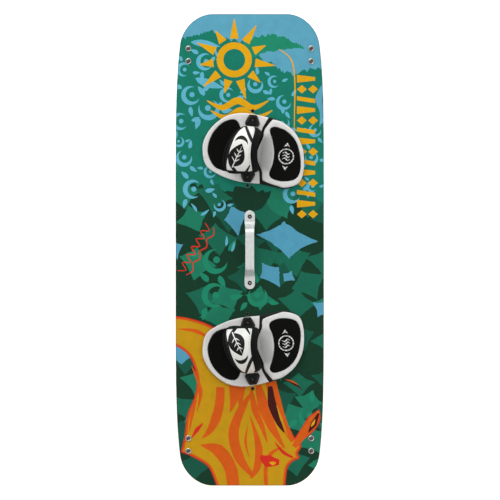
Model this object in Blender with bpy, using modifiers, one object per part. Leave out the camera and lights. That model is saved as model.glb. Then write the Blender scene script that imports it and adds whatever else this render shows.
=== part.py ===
"""A twin-tip kiteboard: a laminated board with two strap bindings, a grab handle and four bolted fins.

X runs from the toe edge to the heel edge, Y from tip to tip and Z up. The origin is on the ground
under the middle of the board, which stands on its four fins. Sizes are in metres.

Run it with: blender --background --python part.py
"""

import math

import bmesh
import bpy
from mathutils import Matrix, Vector

# ---- Driving dimensions ----------------------------------------------------------------------

MM = 0.001

# Board plan: gently bowed sides, rounded corners and a straight tip edge.
HALF_LENGTH = 0.670
HALF_WIDTH = 0.2105
SIDE_BOW = 0.028  # how much narrower the side line is at the tip than in the middle
SIDE_BOW_POWER = 5.8
CORNER_LENGTH = 0.086
CORNER_WIDTH = 0.076

# Board profile.
ROCKER = 0.036  # rise of the tips
CONCAVE = 0.002  # hollow across the base
CROWN = 0.004  # fall of the deck towards the rails
CROWN_POWER = 6
THICKNESS_MIDDLE = 0.0115
THICKNESS_TIP = 0.0085

# Board layers.
SKIN = 0.0012
GLUE = 0.0003
RAIL_WIDTH = 0.010

# Steps of the board's grid: columns from the middle to the edge as parts of the half width.
CORNER_STEPS, SIDE_STEPS = 5, 7
HALF_COLUMNS = (0.3, 0.62, 0.82, 0.93, 1.0)

# Fins and their fasteners.
FIN_X = 0.1745
FIN_FROM_TIP = 0.116
FIN_DEPTH = 0.045
FIN_ROOT = 0.108
FIN_FOOT = 0.046
FIN_THICKNESS = 0.008
FIN_EDGE = 0.0016  # bevel round the blade
FIN_SEAT_GAP = 0.0005  # between the fin's root and the base
FIN_ARC_STEPS, FIN_ROOT_STEPS = 5, 4
FIN_SCREW_SPACING = 0.036
FIN_SCREW_RADIUS = 0.0025
FIN_SCREW_LENGTH = 0.0150
FIN_SCREW_HEAD = (0.0045, 0.0026)  # radius and height
FIN_SCREW_SOCKET = 0.0018
FIN_HEAD_Z = 0.0016
FIN_HOLE_RADIUS = 0.0028
CUP_WASHER = [(3.2, 1.3), (5.2, 1.3), (6.6, 2.8), (8.0, 2.3), (8.6, 0.5), (3.2, 0.5)]  # in millimetres

# Grab handle.
HANDLE_HALF_LENGTH = 0.112
HANDLE_FOOT = 0.034
HANDLE_SLOPE = 0.028
HANDLE_RISE = 0.030
HANDLE_HALF_WIDTH = 0.0135
HANDLE_FOOT_HALF_WIDTH = 0.0148
HANDLE_THICKNESS = 0.0035
HANDLE_SEAT_GAP = 0.0005  # between its feet and the deck
HANDLE_SCREW_Y = 0.0945
HANDLE_SCREW_HEAD = (0.0056, 0.0032)
HANDLE_SCREW_LENGTH = 0.0110
HANDLE_SCREW_SOCKET = 0.0021
HANDLE_INSERT_RADIUS = 0.0080
HANDLE_INSERT_TOP, HANDLE_INSERT_LOW = -0.0018, -0.0072

# Bindings, seen from a binding's own frame: x towards the heel, y towards the tip, z off the deck.
STANCE = 0.577
DUCK_ANGLE = math.radians(5.2)
BINDING_X = 0.001
ANCHOR_Y = 0.0815
INSERT_PITCH = 0.025
INSERT_HALF_WIDTH, INSERT_HALF_LENGTH = 0.009, 0.024
COLLAR_LOW, COLLAR_TOP = -0.005, -0.0001
PLATE_LOW, PLATE_HIGH = 0.0013, 0.0043
TOE_LOW, TOE_HIGH = 0.0046, 0.0130
TOE_EDGE = 0.0025
HEEL_LOW, HEEL_HIGH = 0.0046, 0.0200
HEEL_EDGE = 0.0035
INLAY_DEPTH = 0.004
INLAY_PROUD = 0.0008
FIT_GAP = 0.0004

# M6 fasteners of the bindings and the handle.
M6_RADIUS = 0.0030
M6_HOLE = 0.0033
COLLAR_RADIUS = 0.0050
COLLAR_HOLE = 0.0054

# Strap arch, on the outside of the webbing band.
STRAP_HALF_SPAN = 0.0617
STRAP_INNER_BULGE = 0.0105  # how far the shoulder over the inner anchor stands out past the foot
STRAP_FOOT_Z = 0.0190
STRAP_FOOT_HALF_WIDTH = 0.018
STRAP_RISE = 0.073
STRAP_TILT_ACROSS = 0.006  # the heel edge of the arch stands this much higher than its middle line
STRAP_TOE_REACH = 0.075
STRAP_HEEL_REACH = 0.021
STRAP_SQUARENESS = 2.3
STRAP_SKEW = 1.5  # above 1 the arch is widest towards its inner end
STRAP_FLARE_POWER = 0.7
SHOULDER_SHARE, SHOULDER_POWER = 0.34, 1.3  # how soon the shoulder stands out, as the arch rises
EDGE_TAPER, EDGE_TAPER_RISE = 0.4, 2.0  # a layer's edge insets narrow towards the feet
BAND_THICKNESS = 0.0022
BAND_INSET = 0.010
LINER_THICKNESS = 0.0065
COVER_THICKNESS = 0.0024
COVER_TOE_INSET, COVER_HEEL_INSET = 0.004, 0.017
COVER_FIRST, COVER_LAST = 1, 22  # the cover's ends, in steps round the arch from its outer foot

# Plan outlines of the right binding, each as smooth runs of points that meet at corners.
TOE_OUTLINE = [
    [(45, 92), (-20, 99), (-70, 88), (-106, 60), (-128, 25), (-135, -10),
     (-122, -57), (-85, -81), (-30, -96), (36, -98)],
    [(36, -98), (32, -62), (20, -38), (13, -18), (18, 8), (27, 34), (30, 58), (45, 92)],
]
HEEL_OUTLINE = [
    [(43, -94), (110, -102), (147, -85), (157, -45), (150, 10), (125, 54), (88, 81), (57, 88)],
    [(57, 88), (36, 58), (33, 34), (24, 8), (19, -18), (26, -38), (38, -62), (43, -94)],
]
PLATE_OUTLINE = [
    [(50, 92), (-20, 96), (-68, 85), (-103, 58), (-125, 24), (-132, -10), (-119, -55),
     (-84, -78), (-30, -93), (38, -99), (75, -103), (110, -106), (140, -92), (154, -56),
     (149, 8), (124, 51), (88, 79), (50, 92)],
]
TOE_INLAY_OUTLINE = [
    [(-42, 72), (-58, 77), (-84, 65), (-107, 37), (-118, 5), (-117, -27),
     (-98, -58), (-70, -69), (-35, -70), (-8, -52), (2, -12), (-8, 30), (-30, 52), (-42, 72)],
]
HEEL_INLAY_OUTLINE = [
    [(52, 56), (63, 26), (70, -8), (68, -41), (61, -66), (71, -79), (98, -84), (128, -78),
     (143, -64), (147, -34), (138, 9), (122, 39), (95, 60), (64, 67), (52, 56)],
]
CAP_OUTLINE = [(-18, -17.8), (18, -17.8), (21.5, -9), (16, 5), (10, 15), (-10, 15), (-16, 5), (-21.5, -9)]
CAP_HEIGHT = 0.012
CAP_TOP_SCALE = 0.72
CAP_STEEP_Y = -0.0170  # the face towards the strap stands straight up, past this line
CAP_EDGE = 0.0015
CAP_WELL_RADIUS, CAP_WELL_DEPTH = 0.0060, 0.0055
ANCHOR_SCREW_HEAD = (0.0054, 0.0034)
ANCHOR_SCREW_REACH = 0.0062  # how far the screw goes into the board
ANCHOR_SCREW_SOCKET = 0.0021

STRAP_STEPS = 24  # steps round the strap arch
STRAP_COLUMNS = 5  # points across it
OUTLINE_STEPS = 3  # steps between two points of a smooth outline

# ---- Scene and helpers -----------------------------------------------------------------------

for old in list(bpy.data.objects):
    bpy.data.objects.remove(old)

parts = bpy.data.collections.new("kiteboard")
cutters = bpy.data.collections.new("cutters")
for collection in (parts, cutters):
    bpy.context.scene.collection.children.link(collection)


def material(name, colour, roughness, metallic=0.0):
    made = bpy.data.materials.new(name)
    made.use_nodes = True
    shader = made.node_tree.nodes["Principled BSDF"]
    shader.inputs["Base Color"].default_value = (*colour, 1)
    shader.inputs["Roughness"].default_value = roughness
    shader.inputs["Metallic"].default_value = metallic
    return made


DECK_PRINT = material("deck_print", (0.03, 0.20, 0.15), 0.35)
BASE_PRINT = material("base_print", (0.80, 0.33, 0.02), 0.35)
ABS_BLACK = material("abs_black", (0.02, 0.02, 0.02), 0.45)
PAULOWNIA = material("paulownia", (0.62, 0.45, 0.27), 0.7)
STAINLESS = material("stainless", (0.62, 0.62, 0.60), 0.3, 1.0)
ANODISED = material("anodised_aluminium", (0.60, 0.61, 0.61), 0.35, 1.0)
FIN_GLASS = material("fin_glass_black", (0.02, 0.02, 0.02), 0.4)
PAD_WHITE = material("pad_white", (0.70, 0.70, 0.68), 0.6)
EVA_BLACK = material("eva_black", (0.012, 0.012, 0.011), 0.85)
NYLON_BLACK = material("nylon_black", (0.015, 0.015, 0.015), 0.4)
NEOPRENE = material("neoprene_black", (0.01, 0.01, 0.01), 0.9)
WEBBING = material("webbing_black", (0.012, 0.012, 0.012), 0.8)
COVER_PRINT = material("strap_cover_print", (0.75, 0.75, 0.73), 0.5)


def place(name, mesh, finish, frame=Matrix()):
    """A finished part: a mesh under its own name, standing in a frame."""
    obj = bpy.data.objects.new(name, mesh)
    mesh.materials.clear()
    mesh.materials.append(finish)
    obj.matrix_world = frame
    parts.objects.link(obj)
    return obj


def draft(mesh, name="draft"):
    """An object for modifiers to work on, in the hidden collection."""
    obj = bpy.data.objects.new(name, mesh)
    obj.hide_render = True
    obj.display_type = "WIRE"
    cutters.objects.link(obj)
    return obj


def applied(obj):
    """The mesh an object's modifiers make. The object is removed."""
    bpy.context.view_layer.update()
    graph = bpy.context.evaluated_depsgraph_get()
    mesh = bpy.data.meshes.new_from_object(obj.evaluated_get(graph))
    bpy.data.objects.remove(obj)
    return mesh


def boolean(obj, operand, operation):
    modifier = obj.modifiers.new(operation.lower(), "BOOLEAN")
    modifier.operation = operation
    modifier.object = operand


def bevel(obj, width, segments=2, angle=math.radians(50)):
    modifier = obj.modifiers.new("bevel", "BEVEL")
    modifier.width = width
    modifier.segments = segments
    modifier.limit_method = "ANGLE"
    modifier.angle_limit = angle


def smooth(mesh):
    mesh.shade_smooth()
    mesh.set_sharp_from_angle(angle=math.radians(35))
    return mesh


def grid_solid(rows, columns, low, high):
    """A closed solid from a rows by columns grid: low(i, j) and high(i, j) give its two faces."""
    shape = bmesh.new()
    bmesh.ops.create_grid(shape, x_segments=columns - 1, y_segments=rows - 1, size=1)
    index = {
        v: (round((v.co.y + 1) / 2 * (rows - 1)), round((v.co.x + 1) / 2 * (columns - 1)))
        for v in shape.verts
    }
    raised = bmesh.ops.extrude_face_region(shape, geom=shape.faces[:])["geom"]
    for v in [g for g in raised if isinstance(g, bmesh.types.BMVert)]:
        i = round((v.co.y + 1) / 2 * (rows - 1))
        j = round((v.co.x + 1) / 2 * (columns - 1))
        v.co = high(i, j)
    for v, (i, j) in index.items():
        v.co = low(i, j)
    bmesh.ops.recalc_face_normals(shape, faces=shape.faces)
    if shape.calc_volume(signed=True) < 0:
        bmesh.ops.reverse_faces(shape, faces=shape.faces)
    mesh = bpy.data.meshes.new("grid")
    shape.to_mesh(mesh)
    shape.free()
    return mesh


def plate(outline, low, high):
    """A flat plate over a closed plan outline, made as a filled and extruded curve."""
    curve = bpy.data.curves.new("plate", "CURVE")
    curve.dimensions = "2D"
    curve.fill_mode = "BOTH"
    curve.extrude = (high - low) / 2
    spline = curve.splines.new("POLY")
    spline.points.add(len(outline) - 1)
    for point, (x, y) in zip(spline.points, outline):
        point.co = (x, y, 0, 1)
    spline.use_cyclic_u = True
    mesh = applied(draft(curve))
    bpy.data.curves.remove(curve)
    mesh.transform(Matrix.Translation((0, 0, (low + high) / 2)))
    shape = bmesh.new()
    shape.from_mesh(mesh)
    bmesh.ops.remove_doubles(shape, verts=shape.verts, dist=0.01 * MM)
    bmesh.ops.recalc_face_normals(shape, faces=shape.faces)
    shape.to_mesh(mesh)
    shape.free()
    return mesh


def turned(profile, steps=20):
    """A solid of revolution about Z from (radius, height) points that run down its outer side."""
    mesh = bpy.data.meshes.new("turned")
    points = [(radius, 0, height) for radius, height in profile]
    edges = [(i, i + 1) for i in range(len(points) - 1)]
    if profile[0][0] > 0:
        edges.append((len(points) - 1, 0))
    mesh.from_pydata(points, edges, [])
    obj = draft(mesh)
    spin = obj.modifiers.new("spin", "SCREW")
    spin.steps = spin.render_steps = steps
    spin.use_merge_vertices = True
    spin.merge_threshold = 0.01 * MM
    return applied(obj)


def rods(frames, radius, low, high, sides=16):
    """Round bars of one radius, one in each frame, as a single cutter mesh."""
    shape = bmesh.new()
    for frame in frames:
        centre = frame @ Matrix.Translation((0, 0, (low + high) / 2))
        bmesh.ops.create_cone(
            shape, cap_ends=True, segments=sides, radius1=radius, radius2=radius,
            depth=high - low, matrix=centre,
        )
    mesh = bpy.data.meshes.new("rods")
    shape.to_mesh(mesh)
    shape.free()
    return mesh


def smooth_loop(runs, scale=MM):
    """A closed outline through runs of points, curved along each run and with a corner where two meet."""
    loop = []
    for run in runs:
        closed = len(runs) == 1
        points = [Vector(p) * scale for p in run]
        last = len(points) - 1
        for i in range(last):
            before = points[i - 1] if i else points[last - 1] if closed else points[0]
            after = points[i + 2] if i + 2 <= last else points[1] if closed else points[last]
            for step in range(OUTLINE_STEPS):
                loop.append(catmull_rom(before, points[i], points[i + 1], after, step / OUTLINE_STEPS))
    return loop


def catmull_rom(before, start, end, after, t):
    """The point a share t of the way from start to end on the smooth curve through four points."""
    return 0.5 * (
        2 * start
        + (end - before) * t
        + (2 * before - 5 * start + 4 * end - after) * t**2
        + (3 * start - before - 3 * end + after) * t**3
    )


def grown(outline, distance):
    """An anticlockwise outline moved outwards by a distance."""
    count = len(outline)
    moved = []
    for i, point in enumerate(outline):
        along = (outline[(i + 1) % count] - outline[i - 1]).normalized()
        moved.append(point + distance * Vector((along.y, -along.x)))
    return moved


# ---- Board surfaces --------------------------------------------------------------------------


def half_width(y, inset=0.0):
    """Half the board's width at y, for its outline moved inwards by inset."""
    side = HALF_WIDTH - SIDE_BOW * (abs(y) / HALF_LENGTH) ** SIDE_BOW_POWER - inset
    into_corner = (abs(y) - HALF_LENGTH + CORNER_LENGTH) / (CORNER_LENGTH - inset)
    if into_corner <= 0:
        return side
    return side - (CORNER_WIDTH - inset) * (1 - math.sqrt(max(0, 1 - into_corner**2)))


def rocker(y):
    return ROCKER * (y / HALF_LENGTH) ** 2


def thickness(y):
    return THICKNESS_MIDDLE - (THICKNESS_MIDDLE - THICKNESS_TIP) * (y / HALF_LENGTH) ** 2


BASE_MIDDLE_Z = FIN_DEPTH - rocker(HALF_LENGTH - FIN_FROM_TIP)


def base_z(x, y):
    """Height of the board's base."""
    return BASE_MIDDLE_Z + rocker(y) + CONCAVE * (1 - (x / HALF_WIDTH) ** 2)


def deck_z(x, y):
    """Height of the board's deck."""
    fall = CROWN * (abs(x) / HALF_WIDTH) ** CROWN_POWER
    return BASE_MIDDLE_Z + rocker(y) + thickness(y) - fall


def core_low(x, y):
    return base_z(x, y) + SKIN + GLUE


def core_high(x, y):
    return deck_z(x, y) - SKIN - GLUE


def deck_frame(x, y):
    """A frame standing on the deck, with its Z along the deck's normal."""
    step = MM
    across = Vector((2 * step, 0, deck_z(x + step, y) - deck_z(x - step, y))).normalized()
    ahead = Vector((0, 2 * step, deck_z(x, y + step) - deck_z(x, y - step)))
    up = across.cross(ahead).normalized()
    ahead = up.cross(across)
    turn = Matrix((across, ahead, up)).transposed().to_4x4()
    return Matrix.Translation((x, y, deck_z(x, y))) @ turn


def binding_frame(side):
    """The frame of a binding: side is 1 for the right foot, at +Y, and -1 for the left."""
    return deck_frame(BINDING_X, side * STANCE / 2) @ Matrix.Rotation(-side * DUCK_ANGLE, 4, "Z")


def board_slab(inset, low, high):
    """A slab over the board's plan, inset from its edge, between two heights."""
    corner_start = HALF_LENGTH - CORNER_LENGTH
    half = [corner_start * i / SIDE_STEPS for i in range(SIDE_STEPS)]
    half += [
        corner_start + (CORNER_LENGTH - inset) * math.sin(math.pi / 2 * i / CORNER_STEPS)
        for i in range(CORNER_STEPS + 1)
    ]
    stations = [-y for y in reversed(half[1:])] + half
    columns = [-u for u in reversed(HALF_COLUMNS)] + list(HALF_COLUMNS)

    def point(height, i, j):
        x, y = columns[j] * half_width(stations[i], inset), stations[i]
        return (x, y, height(x, y))

    return grid_solid(
        len(stations), len(columns), lambda i, j: point(low, i, j), lambda i, j: point(high, i, j)
    )


# ---- Places of the fasteners -----------------------------------------------------------------

SIDES = {"right": 1, "left": -1}
ENDS = {"outer": 1, "inner": -1}
FIN_CORNERS = {
    "right_toe": (-1, 1), "right_heel": (1, 1), "left_toe": (-1, -1), "left_heel": (1, -1),
}


def fin_centre_y(along):
    return along * (HALF_LENGTH - FIN_FROM_TIP)


def fin_screw_frames(across, along):
    """Deck frames of one fin's two screws, the one nearer the tip first."""
    return [
        deck_frame(across * FIN_X, fin_centre_y(along) + along * shift)
        for shift in (FIN_SCREW_SPACING / 2, -FIN_SCREW_SPACING / 2)
    ]


def anchor_frame(side, end):
    """A binding's frame moved to one of its two strap anchors."""
    return binding_frame(side) @ Matrix.Translation((0, side * end * ANCHOR_Y, 0))


def insert_places(side, end):
    """Plan positions of an insert strip's used and spare threads."""
    used = anchor_frame(side, end).translation
    return [(used.x, used.y), (used.x, used.y + side * end * INSERT_PITCH)]


all_fin_frames = [f for corner in FIN_CORNERS.values() for f in fin_screw_frames(*corner)]
handle_frames = [deck_frame(0, y) for y in (HANDLE_SCREW_Y, -HANDLE_SCREW_Y)]
insert_frames = [
    deck_frame(x, y)
    for side in SIDES.values() for end in ENDS.values() for x, y in insert_places(side, end)
]
anchor_frames = [anchor_frame(side, end) for side in SIDES.values() for end in ENDS.values()]

# ---- Board -----------------------------------------------------------------------------------

THROUGH = 0.05  # reach of a cutter past the board on each side


def insert_block(side, end, margin=0.0):
    """The plan block of one insert strip, or of its pocket in the core with a margin."""
    x, used_y = insert_places(side, end)[0]
    middle_y = used_y + side * end * INSERT_PITCH / 2
    half_x, half_y = INSERT_HALF_WIDTH + margin, INSERT_HALF_LENGTH + margin
    corners = [(-half_x, -half_y), (half_x, -half_y), (half_x, half_y), (-half_x, half_y)]
    return [Vector((x + dx, middle_y + dy)) for dx, dy in corners]


def build_board():
    fin_holes = draft(rods(all_fin_frames, FIN_HOLE_RADIUS, -THROUGH, THROUGH, 12), "fin_holes")
    thread_holes = draft(rods(insert_frames + handle_frames, COLLAR_HOLE, -THROUGH, THROUGH), "collar_holes")
    handle_pockets = draft(
        rods(handle_frames, HANDLE_INSERT_RADIUS + FIT_GAP, -THROUGH, THROUGH), "handle_pockets"
    )

    base = place("base_sheet", board_slab(0, base_z, lambda x, y: base_z(x, y) + SKIN), BASE_PRINT)
    boolean(base, fin_holes, "DIFFERENCE")

    core = place("wood_core", board_slab(RAIL_WIDTH + GLUE, core_low, core_high), PAULOWNIA)
    boolean(core, fin_holes, "DIFFERENCE")
    boolean(core, handle_pockets, "DIFFERENCE")
    for side in SIDES.values():
        for end in ENDS.values():
            pocket = draft(plate(insert_block(side, end, FIT_GAP), -THROUGH, 2 * THROUGH), "insert_pocket")
            boolean(core, pocket, "DIFFERENCE")

    rail = place("edge_rail", board_slab(0, core_low, core_high), ABS_BLACK)
    inside = draft(board_slab(RAIL_WIDTH, lambda x, y: -THROUGH, lambda x, y: 3 * THROUGH), "rail_inside")
    boolean(rail, inside, "DIFFERENCE")

    top = place("top_sheet", board_slab(0, lambda x, y: deck_z(x, y) - SKIN, deck_z), DECK_PRINT)
    boolean(top, fin_holes, "DIFFERENCE")
    boolean(top, thread_holes, "DIFFERENCE")


def build_insert_strips():
    """Stainless strips in the core, each with two threaded collars that come up to the deck."""
    thread_cutter = draft(rods(anchor_frames, M6_HOLE, -THROUGH, THROUGH), "used_threads")
    spare_cutter = draft(rods(insert_frames[1::2], M6_HOLE, -THROUGH, THROUGH), "spare_threads")
    for side_name, side in SIDES.items():
        for end_name, end in ENDS.items():
            block = insert_block(side, end)
            low_z = max(core_low(p.x, p.y) for p in block)
            high_z = min(core_high(p.x, p.y) for p in block)
            strip = draft(plate(block, low_z, high_z))
            collars = draft(rods([deck_frame(x, y) for x, y in insert_places(side, end)],
                                 COLLAR_RADIUS, COLLAR_LOW, COLLAR_TOP))
            boolean(strip, collars, "UNION")
            boolean(strip, thread_cutter, "DIFFERENCE")
            boolean(strip, spare_cutter, "DIFFERENCE")
            place(f"{side_name}_insert_strip_{end_name}", smooth(applied(strip)), STAINLESS)
            bpy.data.objects.remove(collars)


# ---- Fasteners -------------------------------------------------------------------------------


def socket_screw(head, shank_radius, length, socket_radius):
    """A button-head screw standing on z = 0 with its shank below, and a hex socket in its head."""
    head_radius, head_height = head
    point = 0.2 * shank_radius
    profile = [
        (0, head_height), (0.55 * head_radius, head_height), (0.85 * head_radius, 0.8 * head_height),
        (head_radius, 0.35 * head_height), (head_radius, 0), (shank_radius, 0),
        (shank_radius, -length + point), (shank_radius - point, -length), (0, -length),
    ]
    screw = draft(turned(profile, 16))
    socket = draft(rods([Matrix()], socket_radius, 0.3 * head_height, 2 * head_height, 6))
    boolean(screw, socket, "DIFFERENCE")
    mesh = smooth(applied(screw))
    bpy.data.objects.remove(socket)
    return mesh


def build_fins():
    screw = socket_screw(FIN_SCREW_HEAD, FIN_SCREW_RADIUS, FIN_SCREW_LENGTH, FIN_SCREW_SOCKET)
    washer = smooth(turned([(r * MM, z * MM) for r, z in CUP_WASHER], 24))
    for name, (across, along) in FIN_CORNERS.items():
        frames = fin_screw_frames(across, along)
        build_fin(f"{name}_fin", across, along, frames)
        for number, frame in enumerate(frames, 1):
            place(f"{name}_fin_washer_{number}", washer, STAINLESS, frame)
            head = frame @ Matrix.Translation((0, 0, FIN_HEAD_Z))
            place(f"{name}_fin_screw_{number}", screw, STAINLESS, head)


def build_fin(name, across, along, frames):
    """One fin: its top follows the board's base, its ends are quarter ellipses and its foot is flat."""
    centre = fin_centre_y(along)

    def top(y):
        return base_z(across * FIN_X, y) - FIN_SEAT_GAP

    half_root, half_foot = FIN_ROOT / 2, FIN_FOOT / 2
    outline = []
    for end in (1, -1):
        root_y = centre + end * half_root
        arc = []
        for i in range(FIN_ARC_STEPS + 1):
            angle = math.pi / 2 * i / FIN_ARC_STEPS
            y = centre + end * (half_foot + (half_root - half_foot) * math.cos(angle))
            arc.append(Vector((y, top(root_y) * (1 - math.sin(angle)))))
        outline += arc if end == 1 else list(reversed(arc))
    root = [centre - half_root + FIN_ROOT * i / FIN_ROOT_STEPS for i in range(1, FIN_ROOT_STEPS)]
    outline += [Vector((y, top(y))) for y in root]
    outline.reverse()
    blade = draft(plate(outline, -FIN_THICKNESS / 2, FIN_THICKNESS / 2))
    bevel(blade, FIN_EDGE, 1)
    standing = Matrix(((0, 0, 1, across * FIN_X), (1, 0, 0, 0), (0, 1, 0, 0), (0, 0, 0, 1)))
    mesh = applied(blade)
    mesh.transform(standing)
    fin = draft(mesh)
    holes = draft(rods(frames, FIN_HOLE_RADIUS, -FIN_SCREW_LENGTH, THROUGH, 12))
    boolean(fin, holes, "DIFFERENCE")
    place(name, smooth(applied(fin)), FIN_GLASS)
    bpy.data.objects.remove(holes)


# ---- Grab handle -----------------------------------------------------------------------------


def build_handle():
    slope_start = HANDLE_HALF_LENGTH - HANDLE_FOOT
    slope_end = slope_start - HANDLE_SLOPE
    end_radius = HANDLE_FOOT_HALF_WIDTH
    cap_start = HANDLE_HALF_LENGTH - end_radius
    half = [slope_end + HANDLE_SLOPE * i / 4 for i in range(5)]
    half += [cap_start + end_radius * math.sin(math.pi / 2 * i / 5) for i in range(6)]
    half[-1] -= 0.3 * MM
    stations = [-y for y in reversed(half)] + half

    def rise(y):
        share = min(1, max(0, (slope_start - abs(y)) / HANDLE_SLOPE))
        return HANDLE_RISE * share * share * (3 - 2 * share)

    def reach(y):
        into_cap = max(0, abs(y) - cap_start)
        if into_cap:
            return math.sqrt(end_radius**2 - into_cap**2)
        share = min(1, max(0, (abs(y) - slope_end) / HANDLE_SLOPE))
        return HANDLE_HALF_WIDTH + (HANDLE_FOOT_HALF_WIDTH - HANDLE_HALF_WIDTH) * share

    def low(y):
        return deck_z(0, y) + HANDLE_SEAT_GAP + rise(y)

    def thick(y):
        slope = (rise(abs(y) + MM) - rise(abs(y) - MM)) / (2 * MM)
        return HANDLE_THICKNESS * math.sqrt(1 + slope**2)

    def point(i, j, lift):
        y = stations[i]
        return ((2 * j - 1) * reach(y), y, low(y) + lift * thick(y))

    bar = draft(grid_solid(len(stations), 2, lambda i, j: point(i, j, 0), lambda i, j: point(i, j, 1)))
    holes = draft(rods(handle_frames, M6_HOLE, -THROUGH, THROUGH))
    boolean(bar, holes, "DIFFERENCE")
    place("grab_handle", smooth(applied(bar)), ANODISED)
    bpy.data.objects.remove(holes)

    screw = socket_screw(HANDLE_SCREW_HEAD, M6_RADIUS, HANDLE_SCREW_LENGTH, HANDLE_SCREW_SOCKET)
    insert = smooth(turned([
        (M6_HOLE, COLLAR_TOP), (COLLAR_RADIUS, COLLAR_TOP), (COLLAR_RADIUS, HANDLE_INSERT_TOP),
        (HANDLE_INSERT_RADIUS, HANDLE_INSERT_TOP), (HANDLE_INSERT_RADIUS, HANDLE_INSERT_LOW),
        (M6_HOLE, HANDLE_INSERT_LOW),
    ], 16))
    seat = HANDLE_SEAT_GAP + HANDLE_THICKNESS + FIT_GAP
    for name, frame in zip(("right", "left"), handle_frames):
        place(f"handle_insert_{name}", insert, STAINLESS, frame)
        head = frame @ Matrix.Translation((0, 0, seat))
        place(f"handle_screw_{name}", screw, STAINLESS, head)


# ---- Bindings --------------------------------------------------------------------------------


def place_pair(part_name, mesh, finish, pivot=Vector()):
    """A binding part for both feet, with its origin at a pivot. The left one is the right one mirrored."""
    mesh.transform(Matrix.Translation(-pivot))
    for side_name, side in SIDES.items():
        copy = mesh.copy()
        if side < 0:
            copy.transform(Matrix.Scale(-1, 4, (0, 1, 0)))
            copy.flip_normals()
        origin = Vector((pivot.x, side * pivot.y, pivot.z))
        place(f"{side_name}_{part_name}", copy, finish, binding_frame(side) @ Matrix.Translation(origin))
    bpy.data.meshes.remove(mesh)


def arch_point(share, across):
    """A point on the outside of the strap arch. share runs from 0 at the outer foot to 1 at the inner
    one, and across from 0 at the toe edge to 1 at the heel edge."""
    angle = math.pi * share
    c, s = math.cos(angle), math.sin(angle)
    flare = max(0.0, math.sin(math.pi * share**STRAP_SKEW)) ** STRAP_FLARE_POWER
    toe_edge = -STRAP_FOOT_HALF_WIDTH - (STRAP_TOE_REACH - STRAP_FOOT_HALF_WIDTH) * flare
    heel_edge = STRAP_FOOT_HALF_WIDTH + (STRAP_HEEL_REACH - STRAP_FOOT_HALF_WIDTH) * s
    x = toe_edge + across * (heel_edge - toe_edge)
    power = 2 / STRAP_SQUARENESS
    shoulder = STRAP_INNER_BULGE * min(1, s / SHOULDER_SHARE) ** SHOULDER_POWER if c < 0 else 0
    y = (STRAP_HALF_SPAN + shoulder) * math.copysign(abs(c) ** power, c)
    z = STRAP_FOOT_Z + (STRAP_RISE + STRAP_TILT_ACROSS * (2 * across - 1)) * max(0.0, s) ** power
    return Vector((x, y, z))


def strap_point(share, across, depth):
    """A point of the strap at a depth in from the arch's outside."""
    step = 0.0015
    low, high = max(step / 9, share - step), min(1 - step / 9, share + step)
    along = arch_point(high, across) - arch_point(low, across)
    sideways = arch_point(share, across + step) - arch_point(share, across - step)
    inward = along.cross(sideways).normalized()
    point = arch_point(share, across)
    under_arch = Vector((point.x, 0, 1.8 * STRAP_FOOT_Z))
    if inward.dot(under_arch - point) < 0:
        inward.negate()
    return point + depth * inward


STRAP_PIVOT = Vector((0, 0, STRAP_FOOT_Z))


def cover_hinge():
    """The line that the strap cover opens about: its inner end's outer edge, from toe to heel."""
    share = COVER_LAST / STRAP_STEPS
    low, high = layer_edges(share, (COVER_TOE_INSET, COVER_HEEL_INSET))
    depth = -FIT_GAP - COVER_THICKNESS
    return strap_point(share, low, depth), strap_point(share, high, depth)


def layer_edges(share, insets):
    """The two edges of a strap layer, as parts of the arch's full width from its toe edge."""
    full = (arch_point(share, 1) - arch_point(share, 0)).length
    taper = min(1, EDGE_TAPER + EDGE_TAPER_RISE * math.sin(math.pi * share))
    return insets[0] * taper / full, 1 - insets[1] * taper / full


def strap_layer(insets, outside, inside, first=0, last=STRAP_STEPS):
    """A shell along the strap arch between two depths, inset from its toe and heel edges."""

    def point(i, j, depth):
        share = (first + i) / STRAP_STEPS
        low, high = layer_edges(share, insets)
        return strap_point(share, low + (high - low) * j / (STRAP_COLUMNS - 1), depth)

    return grid_solid(
        last - first + 1, STRAP_COLUMNS,
        lambda i, j: point(i, j, inside), lambda i, j: point(i, j, outside),
    )


def pad_mesh(outline_runs, low, high, inlay_runs, edge):
    """A foot pad: a bevelled plate with a pocket for its grip inlay."""
    pad = draft(plate(smooth_loop(outline_runs), low, high))
    bevel(pad, edge)
    pocket = draft(plate(grown(smooth_loop(inlay_runs), FIT_GAP), high - INLAY_DEPTH, high + THROUGH))
    boolean(pad, pocket, "DIFFERENCE")
    mesh = applied(pad)
    bpy.data.objects.remove(pocket)
    return mesh


def drilled(mesh, frames, radius):
    obj = draft(mesh)
    holes = draft(rods(frames, radius, -THROUGH, THROUGH))
    boolean(obj, holes, "DIFFERENCE")
    mesh = applied(obj)
    bpy.data.objects.remove(holes)
    return mesh


def anchor_cap():
    """The hood over a strap end: an eight-sided tapered block, bevelled, with a well for its screw."""
    outline = [Vector(p) * MM for p in CAP_OUTLINE]
    mesh = plate(outline, 0, CAP_HEIGHT)
    for vertex in mesh.vertices:
        if vertex.co.z > CAP_HEIGHT / 2:
            vertex.co.x *= CAP_TOP_SCALE
            if vertex.co.y > CAP_STEEP_Y:
                vertex.co.y *= CAP_TOP_SCALE
    cap = draft(mesh)
    bevel(cap, CAP_EDGE, 1, math.radians(30))
    well = draft(rods([Matrix()], CAP_WELL_RADIUS, CAP_HEIGHT - CAP_WELL_DEPTH, THROUGH))
    bore = draft(rods([Matrix()], M6_HOLE, -THROUGH, THROUGH))
    boolean(cap, well, "DIFFERENCE")
    boolean(cap, bore, "DIFFERENCE")
    made = smooth(applied(cap))
    for helper in (well, bore):
        bpy.data.objects.remove(helper)
    return made


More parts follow.
